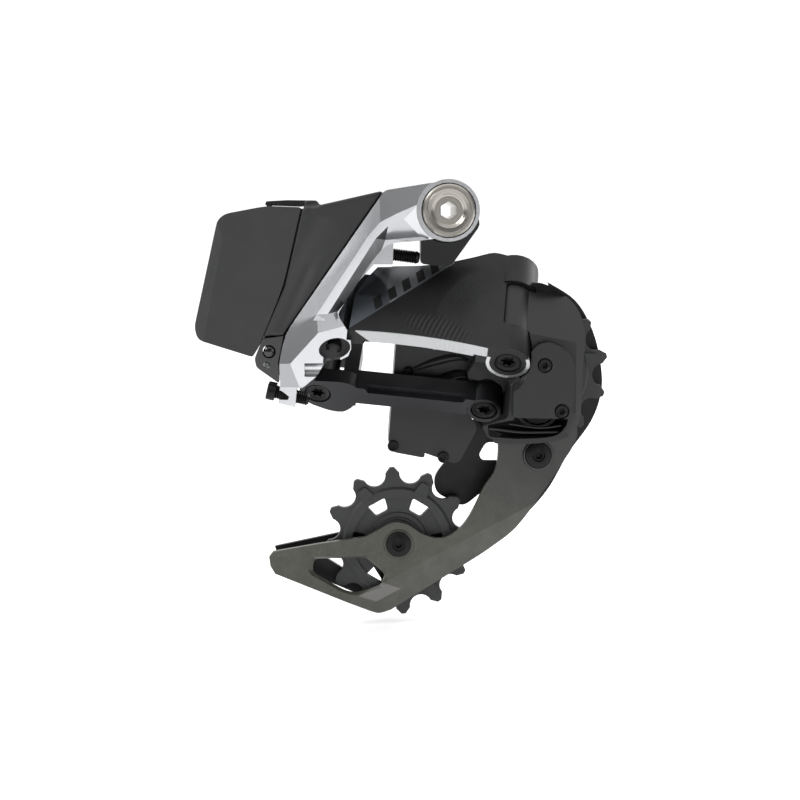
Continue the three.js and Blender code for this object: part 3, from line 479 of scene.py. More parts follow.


# The upper knuckle's alloy, with painted shade on its side facets
polished_alloy_painted_shade = facet_shade_painted_alloy()
screw_black = black_oxide()
bolt_steel = turned("turned steel", (0.46, 0.44, 0.4), 0.26).material
plain_steel = brushed("plain steel", (0.55, 0.55, 0.55), 0.3, (0, 1, 0)).material
eye_grey = blasted("eye grey", (0.03, 0.029, 0.029), 0.45, 0.3).material
dark_alloy = blasted("dark anodised alloy", (0.014, 0.0142, 0.015), 0.42, 0.35).material
knuckle_alloy = blasted("knuckle alloy", (0.017, 0.0172, 0.0178), 0.36, 0.3).material
inner_link_alloy = blasted("inner link alloy", (0.018, 0.0185, 0.021), 0.36, 0.4).material
case_plastic = moulded("case plastic", (0.017, 0.0173, 0.018), 0.5).material
housing_plastic = moulded("housing plastic", (0.013, 0.0132, 0.0138), 0.45).material
gloss_plastic = moulded("gloss plastic", (0.004, 0.004, 0.0045), 0.18, 3, 0.006, 0.5).material
pulley_plastic = moulded("pulley plastic", (0.022, 0.0225, 0.0235), 0.5, 6, 0.02).material
plate_alloy = blasted("plate alloy", (0.007, 0.007, 0.0075), 0.38, 0.5).material
rubber = moulded("rubber", (0.012, 0.012, 0.012), 0.7, 8, 0.02).material
bronze = turned("bronze", (0.42, 0.3, 0.15), 0.35).material
brass = brushed("brass", (0.6, 0.42, 0.17), 0.3, (0, 0, 1)).material
contact_metal = brushed("contact metal", (0.75, 0.55, 0.22), 0.25, (0, 0, 1)).material
board = moulded("circuit board", (0.02, 0.1, 0.04), 0.35, 2, 0.01).material
cell = moulded("battery cell", (0.3, 0.32, 0.34), 0.4, 2, 0.01).material
lens = moulded("lens", (0.02, 0.03, 0.022), 0.12, 2, 0.004, 0.6).material


def forged_carbon():
    """Chopped carbon tow in resin, in overlapping chips, with a smooth band under the crease that is
    painted lighter, as painted light on its downward slope, and a pale patch in that band."""
    surface = Surface("forged carbon", (0.05, 0.05, 0.044), 0.4, 0, 0.3)
    along, blend, product, spread = surface.along, surface.blend, surface.product, surface.spread
    first = surface.cells(0.9, surface.stretched((0.5, 0, 0.25), (0, 1, 0), (-0.9, 0, 1.8)))
    second = surface.cells(0.8, surface.stretched((1.6, 0, -0.5), (0, 1, 0), (0.3, 0, 0.5)))
    picker = spread(surface.noise(0.35, 2), 0.45, 0.55)
    tone = surface.add("RGBToBW", {0: blend(picker, first, second)})
    cloud = surface.noise(0.16, 4)
    level = surface.math("MULTIPLY_ADD", tone, 0.3, surface.math("MULTIPLY", cloud, 0.8))
    chips = spread(level, 0.25, 0.85)
    arm = blend(chips, (0.009, 0.009, 0.0084), (0.02, 0.0198, 0.018))
    tail = blend(chips, (0.022, 0.0218, 0.016), (0.062, 0.061, 0.045))
    ground = blend(spread(along((-0.6, 0, -0.8), (34, 0, -80)), 8, 42), arm, tail)
    crease_start = placed(*CREASE_START, 0)
    run = along(placed(*CREASE, 0), crease_start)
    below = along(placed(-CREASE.y, CREASE.x, 0), crease_start)
    # The band under the crease: plain, without chips, and painted lighter as painted light where it slopes
    # down
    band = spread(below, 0, 0.4)
    smooth = blend(spread(cloud, 0.3, 0.7), (0.04, 0.04, 0.034), (0.066, 0.065, 0.056))
    ground = blend(band, ground, smooth)
    lean = surface.math("MULTIPLY_ADD", below, 0.9, run)
    patch = product(band, spread(below, 5.2, 4.9), spread(lean, 59.4, 59.8), spread(lean, 69.6, 69.2))
    surface.color(blend(patch, ground, (0.13, 0.128, 0.122)))
    surface.roughness(spread(tone, 0, 1, 0.36, 0.5))
    return surface.bump(tone, 0.015).material


carbon = forged_carbon()


# ------------------------ camera, light and floor

def aim(built, location, direction):
    """Puts a camera or a light at a place, facing along a direction."""
    built.location = location
    built.rotation_mode = "QUATERNION"
    built.rotation_quaternion = direction.to_track_quat("-Z", "Y")


CAMERA_PLACE = (-36.8, -500.7, -6.1)
CAMERA_DIRECTION = (0.0433, 0.9926, -0.1132)
CAMERA_LENS = 67.338


def photograph_camera():
    camera = new_object("camera", bpy.data.cameras.new("camera"))
    camera.data.sensor_width = 36
    camera.data.lens = CAMERA_LENS
    camera.data.clip_start = 0.01
    aim(camera, Vector(CAMERA_PLACE) * MM, Vector(CAMERA_DIRECTION))
    bpy.context.scene.camera = camera


# The point that the lights face, and each light's place and size in metres and its power
LIT_POINT = Vector((-0.015, -0.01, -0.06))
LIGHTS = (("key", (-1.1, -0.9, 1), (0.7, 0.7), 16), ("fill", (1.2, -1.3, 0.2), (0.9, 1.6), 4.5),
          ("rim", (0.9, 1, 0.7), (0.8, 0.8), 10))


def area_light(name, location, size, power):
    light = new_object(name, bpy.data.lights.new(name, "AREA"))
    light.data.shape = "RECTANGLE"
    light.data.size, light.data.size_y = size
    light.data.energy = power
    aim(light, location, LIT_POINT - Vector(location))


FLOOR_GAP = 0.004


def pale_floor(reach=9000):
    corners = [(x * reach, y * reach, 0) for x, y in ((-1, -1), (1, -1), (1, 1), (-1, 1))]
    floor = mesh_object("floor", corners, [(0, 1, 2, 3)])
    floor.location.z = cad_low.z - FLOOR_GAP
    pale = Surface("pale floor", (0.9, 0.9, 0.9), 0.8)
    for socket, value in (("Specular IOR Level", 0.1), ("Emission Color", (1, 1, 1, 1)),
                          ("Emission Strength", 0.3)):
        feed(pale.sockets[socket], value)
    pale.color(pale.blend(pale.noise(0.02, 2), (0.89, 0.89, 0.89), (0.91, 0.91, 0.91)))
    floor.data.materials.append(pale.material)


def studio_world():
    """White light that is strongest from behind the part and from above."""
    world = bpy.data.worlds.new("studio")
    bpy.context.scene.world = world
    world.use_nodes = True
    tree = world.node_tree
    coordinates = tree.nodes.new("ShaderNodeTexCoord")
    direction = shader_node(tree, "SeparateXYZ", {0: coordinates.outputs["Generated"]})
    levels = []
    for axis, low, high, to_low, to_high in (("Y", -0.3, 0.5, 0.1, 1.05), ("Z", 0.35, 0.85, 0, 1.15)):
        level = shader_node(tree, "MapRange", {
            "Value": direction.outputs[axis], "From Min": low, "From Max": high,
            "To Min": to_low, "To Max": to_high}, interpolation_type="SMOOTHSTEP")
        levels.append(level.outputs["Result"])
    strongest = shader_node(tree, "Math", dict(enumerate(levels)), operation="MAXIMUM")
    background = tree.nodes["Background"].inputs
    feed(background["Strength"], strongest.outputs[0])
    feed(background["Color"], (1, 1, 1, 1))
    bpy.context.scene.view_settings.view_transform = "Standard"


photograph_camera()
pale_floor()
studio_world()
for light in LIGHTS:
    area_light(*light)


# ------------------------ shared shapes

def front_space(name, points, faces, front=-40):
    """The space in front of a faceted surface, used to cut facets. points are (x, z, y) on the surface."""
    count = len(points)
    vertices = [placed(*point) for point in points] + [placed(x, z, front) for x, z, _ in points]
    edges = [(start, face[(i + 1) % len(face)]) for face in faces for i, start in enumerate(face)]
    walls = [(b, a, a + count, b + count) for a, b in edges if (b, a) not in edges]
    lids = [tuple(i + count for i in face[::-1]) for face in faces]
    return mesh_object(name, vertices, list(faces) + walls + lids)


def thread(radius, depth, pitch, start, end):
    """The profile of a thread as a row of ridges."""
    profile = []
    for k in range(int((end - start) / pitch)):
        at = start + k * pitch
        profile += [(radius - depth, at), (radius, at + pitch * 0.4), (radius, at + pitch * 0.55)]
    return profile + [(radius - depth, end)]


def circle(radius, count, centre=(0, 0), turn=0):
    return [polar(radius, turn + 2 * math.pi * k / count, centre) for k in range(count)]


def star(radius, lobe, centre=(0, 0), lobes=6):
    """A lobed driver socket."""
    angles = [2 * math.pi * k / (lobes * 8) for k in range(lobes * 8)]
    return [polar(radius + lobe * math.cos(lobes * angle), angle, centre) for angle in angles]


def frame_along(origin, direction):
    """A frame whose Z runs along a direction, in millimetres."""
    turn = Vector(direction).to_track_quat("Z", "Y").to_matrix().to_4x4()
    return Matrix.Translation(origin) @ turn


def sweep(name, points, steps, radius, swell=0, sides=12, flat=1):
    """A closed bead along a smooth curve. Its radius grows by swell towards the middle, and its
    section is squeezed along Y by flat."""
    path = spline(points, steps)
    out = Vector((0, 1, 0))
    last = len(path) - 1
    vertices = []
    for i, point in enumerate(path):
        side = (path[min(i + 1, last)] - path[max(i - 1, 0)]).normalized().cross(out).normalized()
        reach = radius + swell * math.sin(math.pi * i / last)
        for k in range(sides):
            angle = 2 * math.pi * k / sides
            vertices.append(point + side * reach * math.cos(angle) + out * reach * flat * math.sin(angle))
    faces = [tuple(range(sides)), tuple(range(len(vertices) - 1, len(vertices) - sides - 1, -1))]
    for i in range(last):
        for k in range(sides):
            after = (k + 1) % sides
            faces.append((i * sides + k, (i + 1) * sides + k, (i + 1) * sides + after, i * sides + after))
    return mesh_object(name, vertices, faces)


def socketed(name, profile, socket, span, centre=(0, 0), sides=56, matrix=None):
    """A turned piece with a socket sunk into its head, over a span of depths."""
    return cut(lathe(name, profile, centre, sides, matrix), prism("socket", socket, *span, matrix))


# ------------------------ mounting bolt and upper knuckle

def mounting_bolt():
    profile = [(0, -16.6), (4.6, -16.6), (5.1, -16.9), (5.2, -17.9), (5.7, -18.3), (6.9, -18.4), (7.1, -18.1),
               (7.9, -18.1), (8.5, -17.6), (8.5, -16.3), (8.3, -16.2), (6, -16.2), (6, -0.4), (5.6, 0)]
    profile += thread(4.9, 0.5, 1, 0.3, 8.3) + [(4, 9), (0, 9)]
    bolt = socketed("hanger_bolt", profile, circle(2.9, 6, turn=math.pi / 2), (-22, 12), sides=96)
    stand_for("mounting_bolt", crisp(bolt, 28), bolt_steel)


# Points of the knuckle's front, as (x, z, y): t, a and b run round the arm's outside, e along its
# inside, r and s along the two edges of its ridge, and j and f fill in
ARM_POINTS = {
    "a0": (-22.3, 7.2, -17.9), "t0": (-2, 11.5, -17.3), "a1": (-37.4, -15.2, -17.6),
    "a2": (-54, -39.2, -17.8), "a3": (-57, -49.2, -17.9), "a4": (-57, -56.8, -18),
    "a5": (-57.4, -64.5, -17), "b0": (-48.6, -64.8, -18.9), "b1": (-48.2, -56.6, -20.7),
    "b2": (-41.8, -56, -20.8), "b3": (-40.2, -50, -20.9), "e0": (-33, -49.6, -20.8),
    "e1": (-29.6, -45.6, -20.5), "e2": (-29.8, -40.6, -20), "e3": (-32, -36.6, -18.9),
    "e4": (-35.6, -34.4, -18), "e5": (-36, -32.4, -17.2), "e6": (-28.8, -24, -16.4),
    "e7": (-23, -16.4, -16.4), "e8": (-20.4, -9.4, -16.6), "e9": (-9, -8.4, -17.2),
    "e10": (0, -11.5, -17.3), "f0": (-13, -19.8, -14.8), "f1": (-13, -9.6, -14.8),
    "r0": (-9.8, 2, -18.3), "r1": (-16.5, -0.9, -19.3), "r2": (-22.2, -3.8, -19.8),
    "r3": (-26, -8.2, -20), "r4": (-42.6, -33.2, -20), "r5": (-42.2, -39.1, -21),
    "s0": (-14.6, -2.8, -18.9), "s1": (-19.6, -5, -19.4), "s2": (-23.6, -9, -19.8),
    "s3": (-32.2, -22.4, -19.8), "s4": (-39, -33, -19.6), "j3": (-51.2, -49, -20.4),
}
ARM_FACETS = (
    ("a0", "t0", "r0", "r1"), ("a0", "r1", "r2"), ("a0", "r2", "r3", "a1"), ("a1", "r3", "r4", "a2"),
    ("a2", "r4", "r5", "j3", "a3"), ("a3", "j3", "b1", "a4"), ("a4", "b1", "b0", "a5"),
    ("r5", "e3", "e2", "e1", "e0", "b3", "b2", "b1", "j3"), ("r0", "s0", "r1"), ("r1", "s0", "s1", "r2"),
    ("r2", "s1", "s2", "r3"), ("r3", "s2", "s3", "s4", "r4"), ("s0", "e9", "e8", "s1"), ("s1", "e8", "s2"),
    ("s2", "e8", "e7"), ("s2", "e7", "e6", "s3"), ("s3", "e6", "e5", "s4"),
    ("r4", "s4", "e5", "e4", "e3", "r5"), ("t0", "e10", "e9", "s0", "r0"), ("e8", "f1", "f0", "e7"),
)
ARM_GROOVE = ((-24.3, -20.1, -12.6), (-31, -20, -23.2), (-37.4, -19.9, -33))
EYE_CENTRE = Vector((-36.9, -44.2))
EYE_WIDTH = 5
EYE_HEIGHT = 3.4
EYE_SLANT = 0.9


def upper_knuckle():
    names = list(ARM_POINTS)
    facets = [tuple(names.index(n) for n in facet) for facet in ARM_FACETS]
    boss = lathe("boss", [(7.83, -16), (9.6, -17.5), (10.03, -17.1), (10.03, -3.1), (7.83, -3.1)], sides=96)
    body = join(copy_of("upper_knuckle", "knuckle_casting"), boss)
    eye = [EYE_CENTRE + Vector((EYE_WIDTH * x + EYE_SLANT * y, EYE_HEIGHT * y)) for x, y in circle(1, 40)]
    notch = lathe("notch", [(0, 0), (2.2, 0), (2.2, 9), (0, 9)], sides=32,
                  matrix=frame_along((-46.6, -20.9, -51), (1, 0, 0)))
    front = front_space("facets", list(ARM_POINTS.values()), facets)
    body = cut(body, front, prism("eye", eye, -30, -14), notch)
    body = cut(body, sweep("groove", ARM_GROOVE, 4, radius=0.28, sides=8))
    soften(body, 0.28, 2)
    body.data.set_sharp_from_angle(angle=7 * DEG)
    stand_for("upper_knuckle", body, polished_alloy_painted_shade)
    floor = prism("knuckle_eye_floor", [EYE_CENTRE + (p - EYE_CENTRE) * 1.04 for p in eye], -16.4, -14.4)
    place(crisp(floor, 30), "upper_knuckle_group", "black_steel", eye_grey)


def threaded_screw(node, name, end_point, lean, reach, size, head=None, socket=1.2):
    """A screw that leans down by an angle and comes forward to a point, over a reach. size is the
    thread's length, radius and pitch; head, if any, is its radius and length behind the thread."""
    length, radius, pitch = size
    direction = Vector((math.cos(lean), 0, -math.sin(lean)))
    profile = [(0, length), (radius * 0.7, length)]
    profile += thread(radius, radius * 0.16, pitch, 0.2, length - 0.4)[::-1]
    end = 0.2
    if head:
        head_radius, head_length = head
        end = -head_length
        profile += [(head_radius, 0), (head_radius, end + 0.25), (head_radius - 0.25, end)]
    profile.append((0, end))
    screw = socketed(name, profile, circle(socket, 6), (end - 1, end + 1.6), sides=40,
                     matrix=frame_along(Vector(end_point) - direction * reach, direction))
    stand_for(node, crisp(screw, 28), screw_black)


ADJUSTER_TIP = (-8.8, -5.5, -15.4)
LIMIT_SCREWS = ((-52.3, -16.8, -59.6), (-52.3, -10.8, -59.6))


def upper_knuckle_screws():
    threaded_screw("angle_adjuster_screw", "adjuster_with_thread", ADJUSTER_TIP, 7.3 * DEG, 17,
                   (17, 2.1, 0.8))
    for i, at in enumerate(LIMIT_SCREWS, 1):
        threaded_screw(f"limit_screw_{i}", f"limit_screw_with_thread_{i}", at, 13 * DEG, 4, (11.2, 1.9, 0.7),
                       head=(2.7, 2.8), socket=1.3)


# ------------------------ battery and housing

BATTERY_OUTLINE = (
    (-47.4, 1, 1), (-58.6, 1.4, 3), (-74, -1.5, 4), (-82.3, -37.5, 3), (-81.3, -41.5, 2.5),
    (-63.4, -47.2, 1), (-60.9, -42.6, 3), (-53.4, -24.5, 6),
)


def battery_case():
    case = prism("battery_shell", rounded(BATTERY_OUTLINE, 8), -16, 6)
    facet = [(-75.6, -0.4, -15.6), (-72.6, -9.6, -16.05), (-78.4, -37.6, -16.05), (-79.8, -43.4, -15.4),
             (-84.2, -42.2, -12.6), (-85.2, -37.4, -12.2), (-76.8, -0.2, -13)]
    back = [(x, z, -10 - y) for x, z, y in facet]
    surface = [(0, 1, 2, 5, 6), (2, 3, 4, 5)]
    front_cut = front_space("front facet", facet, surface, -30)
    rear_cut = front_space("rear facet", back, surface, 30)
    notch = prism("notch", [(-59.4, -0.1), (-53.2, -0.1), (-53.2, 4), (-59.4, 4)], -9.5, 3.5)
    window = prism("window", [(-60, -20.3), (-40, -20.3), (-40, -8.7), (-60, -8.7)], -10.3, 0.3)
    case = cut(case, front_cut, rear_cut, notch, window)
    stand_for("battery_case", soften(case, 0.7, 4, 12), case_plastic)


def smooth_hill(value, width):
    return math.exp(-(value / width) ** 2)


# The hollow down the housing's front: its two ends, and the depth where the front begins
HOLLOW_START = Vector((-41, -4))
HOLLOW_END = Vector((-56.5, -38))
HOUSING_FRONT = -13


def battery_housing():
    body = cast(copy_of("battery_housing", "housing_shell"), 0.4, 5)
    direction = (HOLLOW_END - HOLLOW_START).normalized()
    side = Vector((-direction.y, direction.x))
    for vertex in body.data.vertices:
        x, y, z = vertex.co / MM
        if y > HOUSING_FRONT:
            continue
        offset = Vector((x, z)) - HOLLOW_START
        across, down = offset.dot(side), offset.dot(direction)
        depth = 1.5 * smooth_hill(across - 1, 3.4) * min(1, max(0, (down + 2) / 16))
        depth += 0.5 * smooth_hill(across + 5.5, 2.5)
        vertex.co.y += depth * MM * min(1, (HOUSING_FRONT - y) / 2)
    body.data.shade_smooth()
    stand_for("battery_housing", body, housing_plastic)
    strip = [(-47.3, 0.6), (-53.3, -24.4), (-60, -41), (-59.6, -40.6), (-52.8, -24.4), (-46.8, 0.6)]
    place(crisp(prism("housing_gasket", strip, -13.6, -10.6), 30), "upper_knuckle_group", "rubber", rubber)


LATCH_AXIS = (-44.2, 1.5)


def battery_latch():
    outline = [(-59.2, 1.75, 0.3), (-59, 3, 0.6), (-52, 3.4, 1), (-44.5, 3.3, 1), (-43.2, 2.6, 0.5),
               (-43.2, 1.75, 0.3), (-47.4, 1.35)]
    bar = prism("latch_bar", rounded(outline), -9, 3)
    barrel = lathe("barrel", [(1.1, -9), (1.7, -9), (1.7, 3), (1.1, 3)], LATCH_AXIS, 32)
    hook = prism("hook", [(-58.9, 2.2), (-58.5, 0.3), (-57.2, 0.3), (-56.8, 2.2)], -9, 3)
    bore = lathe("bore", [(0, -12), (1.1, -12), (1.1, 6), (0, 6)], LATCH_AXIS, 32)
    bar = cut(join(bar, barrel, hook), bore)
    stand_for("battery_latch", soften(bar, 0.3, 3, 32), gloss_plastic)


# ------------------------ links

def from_link(x, y, z):
    """A direction in the outer link's frame, as one in the part's frame."""
    return OUTER_LINK_FRAME.to_3x3() @ Vector((x, y, z))


def contour_lines(surface):
    """Two fading groups of bent lines, given by their middle, angle, extent and pitch."""
    groups = []
    for (x, z), angle, (reach, width), pitch in (((40, 20), 61, (15, 6), 0.75), ((33, 4), 74, (5, 14), 1.5)):
        cosine, sine = math.cos(angle * DEG), math.sin(angle * DEG)
        middle = OUTER_LINK_FRAME @ Vector((x, 0, z))
        along = surface.along(from_link(cosine, 0, sine), middle)
        across = surface.along(from_link(-sine, 0, cosine), middle)
        bent = surface.math("MULTIPLY_ADD", surface.product(along, along), 1 / 80, across)
        wave = surface.math("SINE", surface.product(bent, 2 * math.pi / pitch))
        far = surface.length(surface.product(along, 1 / reach), surface.product(across, 1 / width))
        groups.append(surface.product(wave, surface.spread(far, 1, 0.5)))
    return surface.math("ADD", *groups)


def link_face_material():
    """Black paint with engraved contour lines, a satin field with slanted bars and a painted highlight
    arc, and a bare lower edge.
    """
    surface = Surface("link face", (0.02, 0.02, 0.021), 0.38, 0.4)
    along, blend, product, spread = surface.along, surface.blend, surface.product, surface.spread
    centre = OUTER_LINK_FRAME.translation
    x_link, y_link, z_link = (along(from_link(*axis), centre) for axis in ((1, 0, 0), (0, 1, 0), (0, 0, 1)))
    edge = Vector((28.4, 0, 30.4)).normalized()
    start = OUTER_LINK_FRAME @ Vector((6.2, -7, 1.8))
    edge_axis = from_link(*edge)
    rise_axis = from_link(-edge.z, 0, edge.x)
    run = along(edge_axis, start)
    rise = along(rise_axis, start)
    field = product(spread(rise, 0, 0.15), spread(y_link, -4.6, -4.8), spread(x_link, 36, 35.8))
    lean = surface.math("MULTIPLY_ADD", rise, -0.6, run)
    stripe = surface.math("FRACT", product(lean, 1 / 6.2))
    bar = product(spread(stripe, 0.42, 0.46), spread(stripe, 0.98, 0.94), spread(rise, 0.7, 0.8),
                  spread(rise, 5, 4.9), spread(lean, 6.5, 6.7), spread(lean, 39.5, 39.3))
    brushing = surface.stretched(edge_axis * 0.1, from_link(0, 1, 0) * 8, rise_axis * 8)
    marks = spread(surface.noise(1, 4, brushing), 0.3, 0.7)
    ring = surface.length(x_link, surface.math("ADD", z_link, -12))
    inside = blend(marks, (0.1, 0.112, 0.128), (0.13, 0.142, 0.158))
    outside = blend(marks, (0.2, 0.208, 0.22), (0.26, 0.268, 0.28))
    alloy = blend(spread(ring, 16.4, 18.6), inside, outside)
    # Painted highlight: a bright arc on the field, standing for light reflected from its curve
    arc = product(spread(ring, 16, 16.8), spread(ring, 18.9, 17.9))
    alloy = blend(arc, alloy, (0.36, 0.37, 0.39))
    ink = blend(bar, alloy, (0.012, 0.012, 0.013))
    lines = contour_lines(surface)
    cloud = spread(surface.noise(0.12, 3), 0.3, 0.7)
    paint = blend(cloud, (0.008, 0.008, 0.0085), (0.012, 0.012, 0.0125))
    paint = blend(spread(lines, 0.1, 0.9, 0, 0.45), paint, (0.04, 0.04, 0.042))
    sag = surface.math("ADD", x_link, -20)
    strip = product(
        spread(surface.math("MULTIPLY_ADD", product(sag, sag), 0.0028, z_link), 0, -0.1),
        spread(y_link, -1.7, -1.9), spread(x_link, 52, 51.8),
        spread(surface.math("SUBTRACT", x_link, y_link), 13.6, 13.8))
    tone = blend(field, paint, ink)
    surface.color(blend(strip, tone, blend(marks, (0.5, 0.51, 0.52), (0.58, 0.59, 0.6))))
    bare = surface.math("MAXIMUM", strip, product(field, surface.math("SUBTRACT", 1, bar)))
    surface.metallic(spread(bare, 0, 1, 0.35, 0.8))
    surface.roughness(spread(bare, 0, 1, 0.42, 0.4))
    surface.bump(product(lines, surface.math("SUBTRACT", 1, field)), 0.1)
    return surface.bump(surface.noise(9, 3), 0.012).material


link_face = link_face_material()
rim_silver = brushed("bare rim", (0.72, 0.73, 0.74), 0.3, from_link(1, 0, 0)).material
LINK_END = (LINK_LENGTH, 0)


def outer_link():
    matrix = OUTER_LINK_FRAME
    ear = [(2.8, 27.4), (8.04, 27.4), (8.04, 38.4), (7, 39.5), (2.8, 39.5)]
    low_ear = [(2.8, -1.3), (4.6, -1.3), (4.6, -1.8), (6.9, -1.8), (7.04, -1.5), (7.04, 8.5), (2.8, 8.5)]
    ears = [lathe("ear", profile, LINK_END, 72, matrix) for profile in (ear, low_ear)]
    across = matrix @ Matrix.Rotation(math.pi / 2, 4, "X")
    shoulder = prism("shoulder", [(4.7, 15), (7.4, 22.5), (10.6, 28.4), (15, 29.1), (15, 15)], 3.1, 7, across)
    body = join(copy_of("outer_link", "outer_link_forging"), *ears, shoulder)
    stand_for("outer_link", soften(body, 0.5, 4), link_face)
    arc = [-25 * DEG + k * (225 * DEG) / 40 for k in range(41)]
    rim = [polar(7.12, angle, LINK_END) for angle in arc]
    rim += [polar(6, angle, LINK_END) for angle in reversed(arc)]
    bright = prism("outer_link_bright_rim", rim, -1.98, -1, matrix)
    place(crisp(bright, 30), "outer_link_body", "silver_alloy", rim_silver)


def inner_link():
    matrix = INNER_LINK_FRAME
    profile = [(4.6, -1.5), (5.5, -2), (5.9, -1.6), (5.9, 1), (4.6, 1)]
    collar = lathe("collar", profile, LINK_END, 56, matrix)
    slope = prism("slope", [(14, -9), (52, -9), (49, -3), (17, -3)], -6, 0.6, matrix)
    body = cut(join(copy_of("inner_link", "inner_link_forging"), collar), slope)
    stand_for("inner_link", soften(body, 0.45, 3, 30), inner_link_alloy)


def pin_head(name, node, matrix, low, height):
    """A pivot pin with a lobed socket in a dished head."""
    profile = [(0, low + 0.5), (3, low + 0.5), (3.5, low + 0.1), (3.9, low), (4.2, low + 0.3),
               (4.2, low + 1.1), (2.5, low + 1.2), (2.5, height), (0, height)]
    pin = socketed(name, profile, star(1.95, 0.42), (low - 1, low + 2.2), matrix=matrix)
    stand_for(node, crisp(pin), screw_black)


# ------------------------ lower knuckle and motor

KNUCKLE_SIDE = (
    (41.4, -40, -18.2), (41.6, -66.5, -18.2), (38.6, -72, -18.2), (44.5, -78, -13.6), (47.6, -67, -13.6),
    (47.8, -38, -13.6),
)
MOUTH_RIBS = (
    ([(20, -16.8, -69.3), (30, -16.8, -70.7), (37, -16.8, -70)], 0.35),
    ([(13.5, -16.4, -70.8), (24, -16.4, -72.2), (36, -16.4, -72.2)], 0.5),
)


def lower_knuckle():
    barrel = lathe("barrel", [(2.83, 9), (6.63, 9), (6.63, 26.9), (2.83, 26.9)], sides=72, matrix=FRAME_B)
    lug = lathe("lug", [(2.83, 6.9), (6.03, 6.9), (6.03, 14), (2.83, 14)], sides=72, matrix=FRAME_D)
    body = join(copy_of("lower_knuckle", "lower_knuckle_casting"), barrel, lug)
    body = cut(body, front_space("side facet", KNUCKLE_SIDE, [(0, 1, 4, 5), (1, 2, 3, 4)]))
    stand_for("lower_knuckle", soften(body, 0.8, 4), knuckle_alloy)
    for i, (points, radius) in enumerate(MOUTH_RIBS, 1):
        rib = sweep(f"knuckle_mouth_rib_{i}", points, 6, radius)
        place(crisp(rib, 40), "lower_knuckle_group", "black_alloy", knuckle_alloy)


COVER_FRONT = -19.9
COVER_SCREWS = ((31.1, -49.8), (36.8, -64.8))


def cover_and_screws():
    cover = copy_of("lower_knuckle_cover", "lower_knuckle_plate")
    stand_for("lower_knuckle_cover", soften(cover, 0.7, 4, 40), knuckle_alloy)
    y = COVER_FRONT
    profile = [(0, y - 0.7), (1.3, y - 1), (1.7, y - 1.3), (2, y - 1.2), (2.15, y - 0.9), (2.15, y),
               (1.2, y), (1.2, y + 5), (0, y + 5)]
    for i, at in enumerate(COVER_SCREWS, 1):
        screw = socketed(f"cover_screw_lobed_{i}", profile, star(0.95, 0.2, at), (y - 3, y + 0.6), at, 40)
        stand_for(f"cover_screw_{i}", crisp(screw), screw_black)


MOTOR_RIDGES = (
    ([(-12.5, 9.6, -55), (-4, 9.4, -51.6), (4.5, 9.3, -49.6), (9, 9.5, -50.6)], 1),
    ([(-14, 9.6, -60), (-4, 9.4, -58.4), (5, 9.2, -55.4), (11, 9.4, -56)], 1.3),
)
MOTOR_SCREWS = ((-11.6, -54.6), (-16.9, -80.2), (0.4, -84.2))


def motor_housing():
    ridges = [sweep("ridge", points, 5, 0.4, swell, flat=0.7) for points, swell in MOTOR_RIDGES]
    body = join(copy_of("motor_housing", "motor_shell"), *ridges)
    stand_for("motor_housing", soften(body, 0.4, 3), knuckle_alloy)
    profile = [(0, 9), (1.1, 8.9), (1.5, 8.6), (1.9, 8.7), (2, 9), (2, 9.6), (0, 9.6)]
    for i, at in enumerate(MOTOR_SCREWS, 1):
        head = socketed(f"motor_screw_{i}", profile, star(0.85, 0.18, at), (6, 9.3), at, 36)
        place(crisp(head), "lower_knuckle_group", "black_steel", screw_black)


# ------------------------ cage

# The outer plate's outline, by stretches: its inner side, tail, rear corner and front side
OUTER_INNER_SIDE = (
    (18.9, -63.6), (19.4, -86), (14.6, -95.4), (11, -103), (6.6, -109.4), (0.2, -113.1), (-6.2, -111.8),
    (-11.6, -108.4), (-16.6, -107.4), (-22, -110), (-26.4, -112.4),
)
OUTER_TAIL = ((-43.2, -114.8), (-58.6, -117.4), (-60, -119.2), (-59.6, -122.4), (-58, -125.2))
OUTER_CORNER = ((-24.6, -139.2), (-21.6, -139.9), (-17.6, -138.8))
OUTER_FRONT_SIDE = (
    (12, -120.4), (18, -116.3), (26.3, -109.5), (35.5, -96.9), (42.4, -86.4), (46.2, -80), (47, -74),
    (42, -57), (40.6, -51), (37, -47.6), (32, -46.5), (26, -47.6), (21.6, -50.8), (20, -55),
)
TAIL_WINDOW = (
    (-44.6, -120.2, 2), (-26.2, -120.1, 1.5), (-19.6, -126, 1.5), (-21, -129.8, 1.5), (-29.6, -132.6, 2),
    (-33.6, -131.8, 2), (-45, -125.2, 2),
)
OUTER_PLATE_DEPTHS = (11.5, 13.5)
INNER_PLATE_DEPTHS = (22.5, 24.5)
BOLT_HOLE = 2.8


def holes(depths, *sizes_and_places):
    """Cutters for round holes through a plate, each given by its radius and centre."""
    return [prism("hole", circle(radius, 40, at), *depths) for radius, at in sizes_and_places]


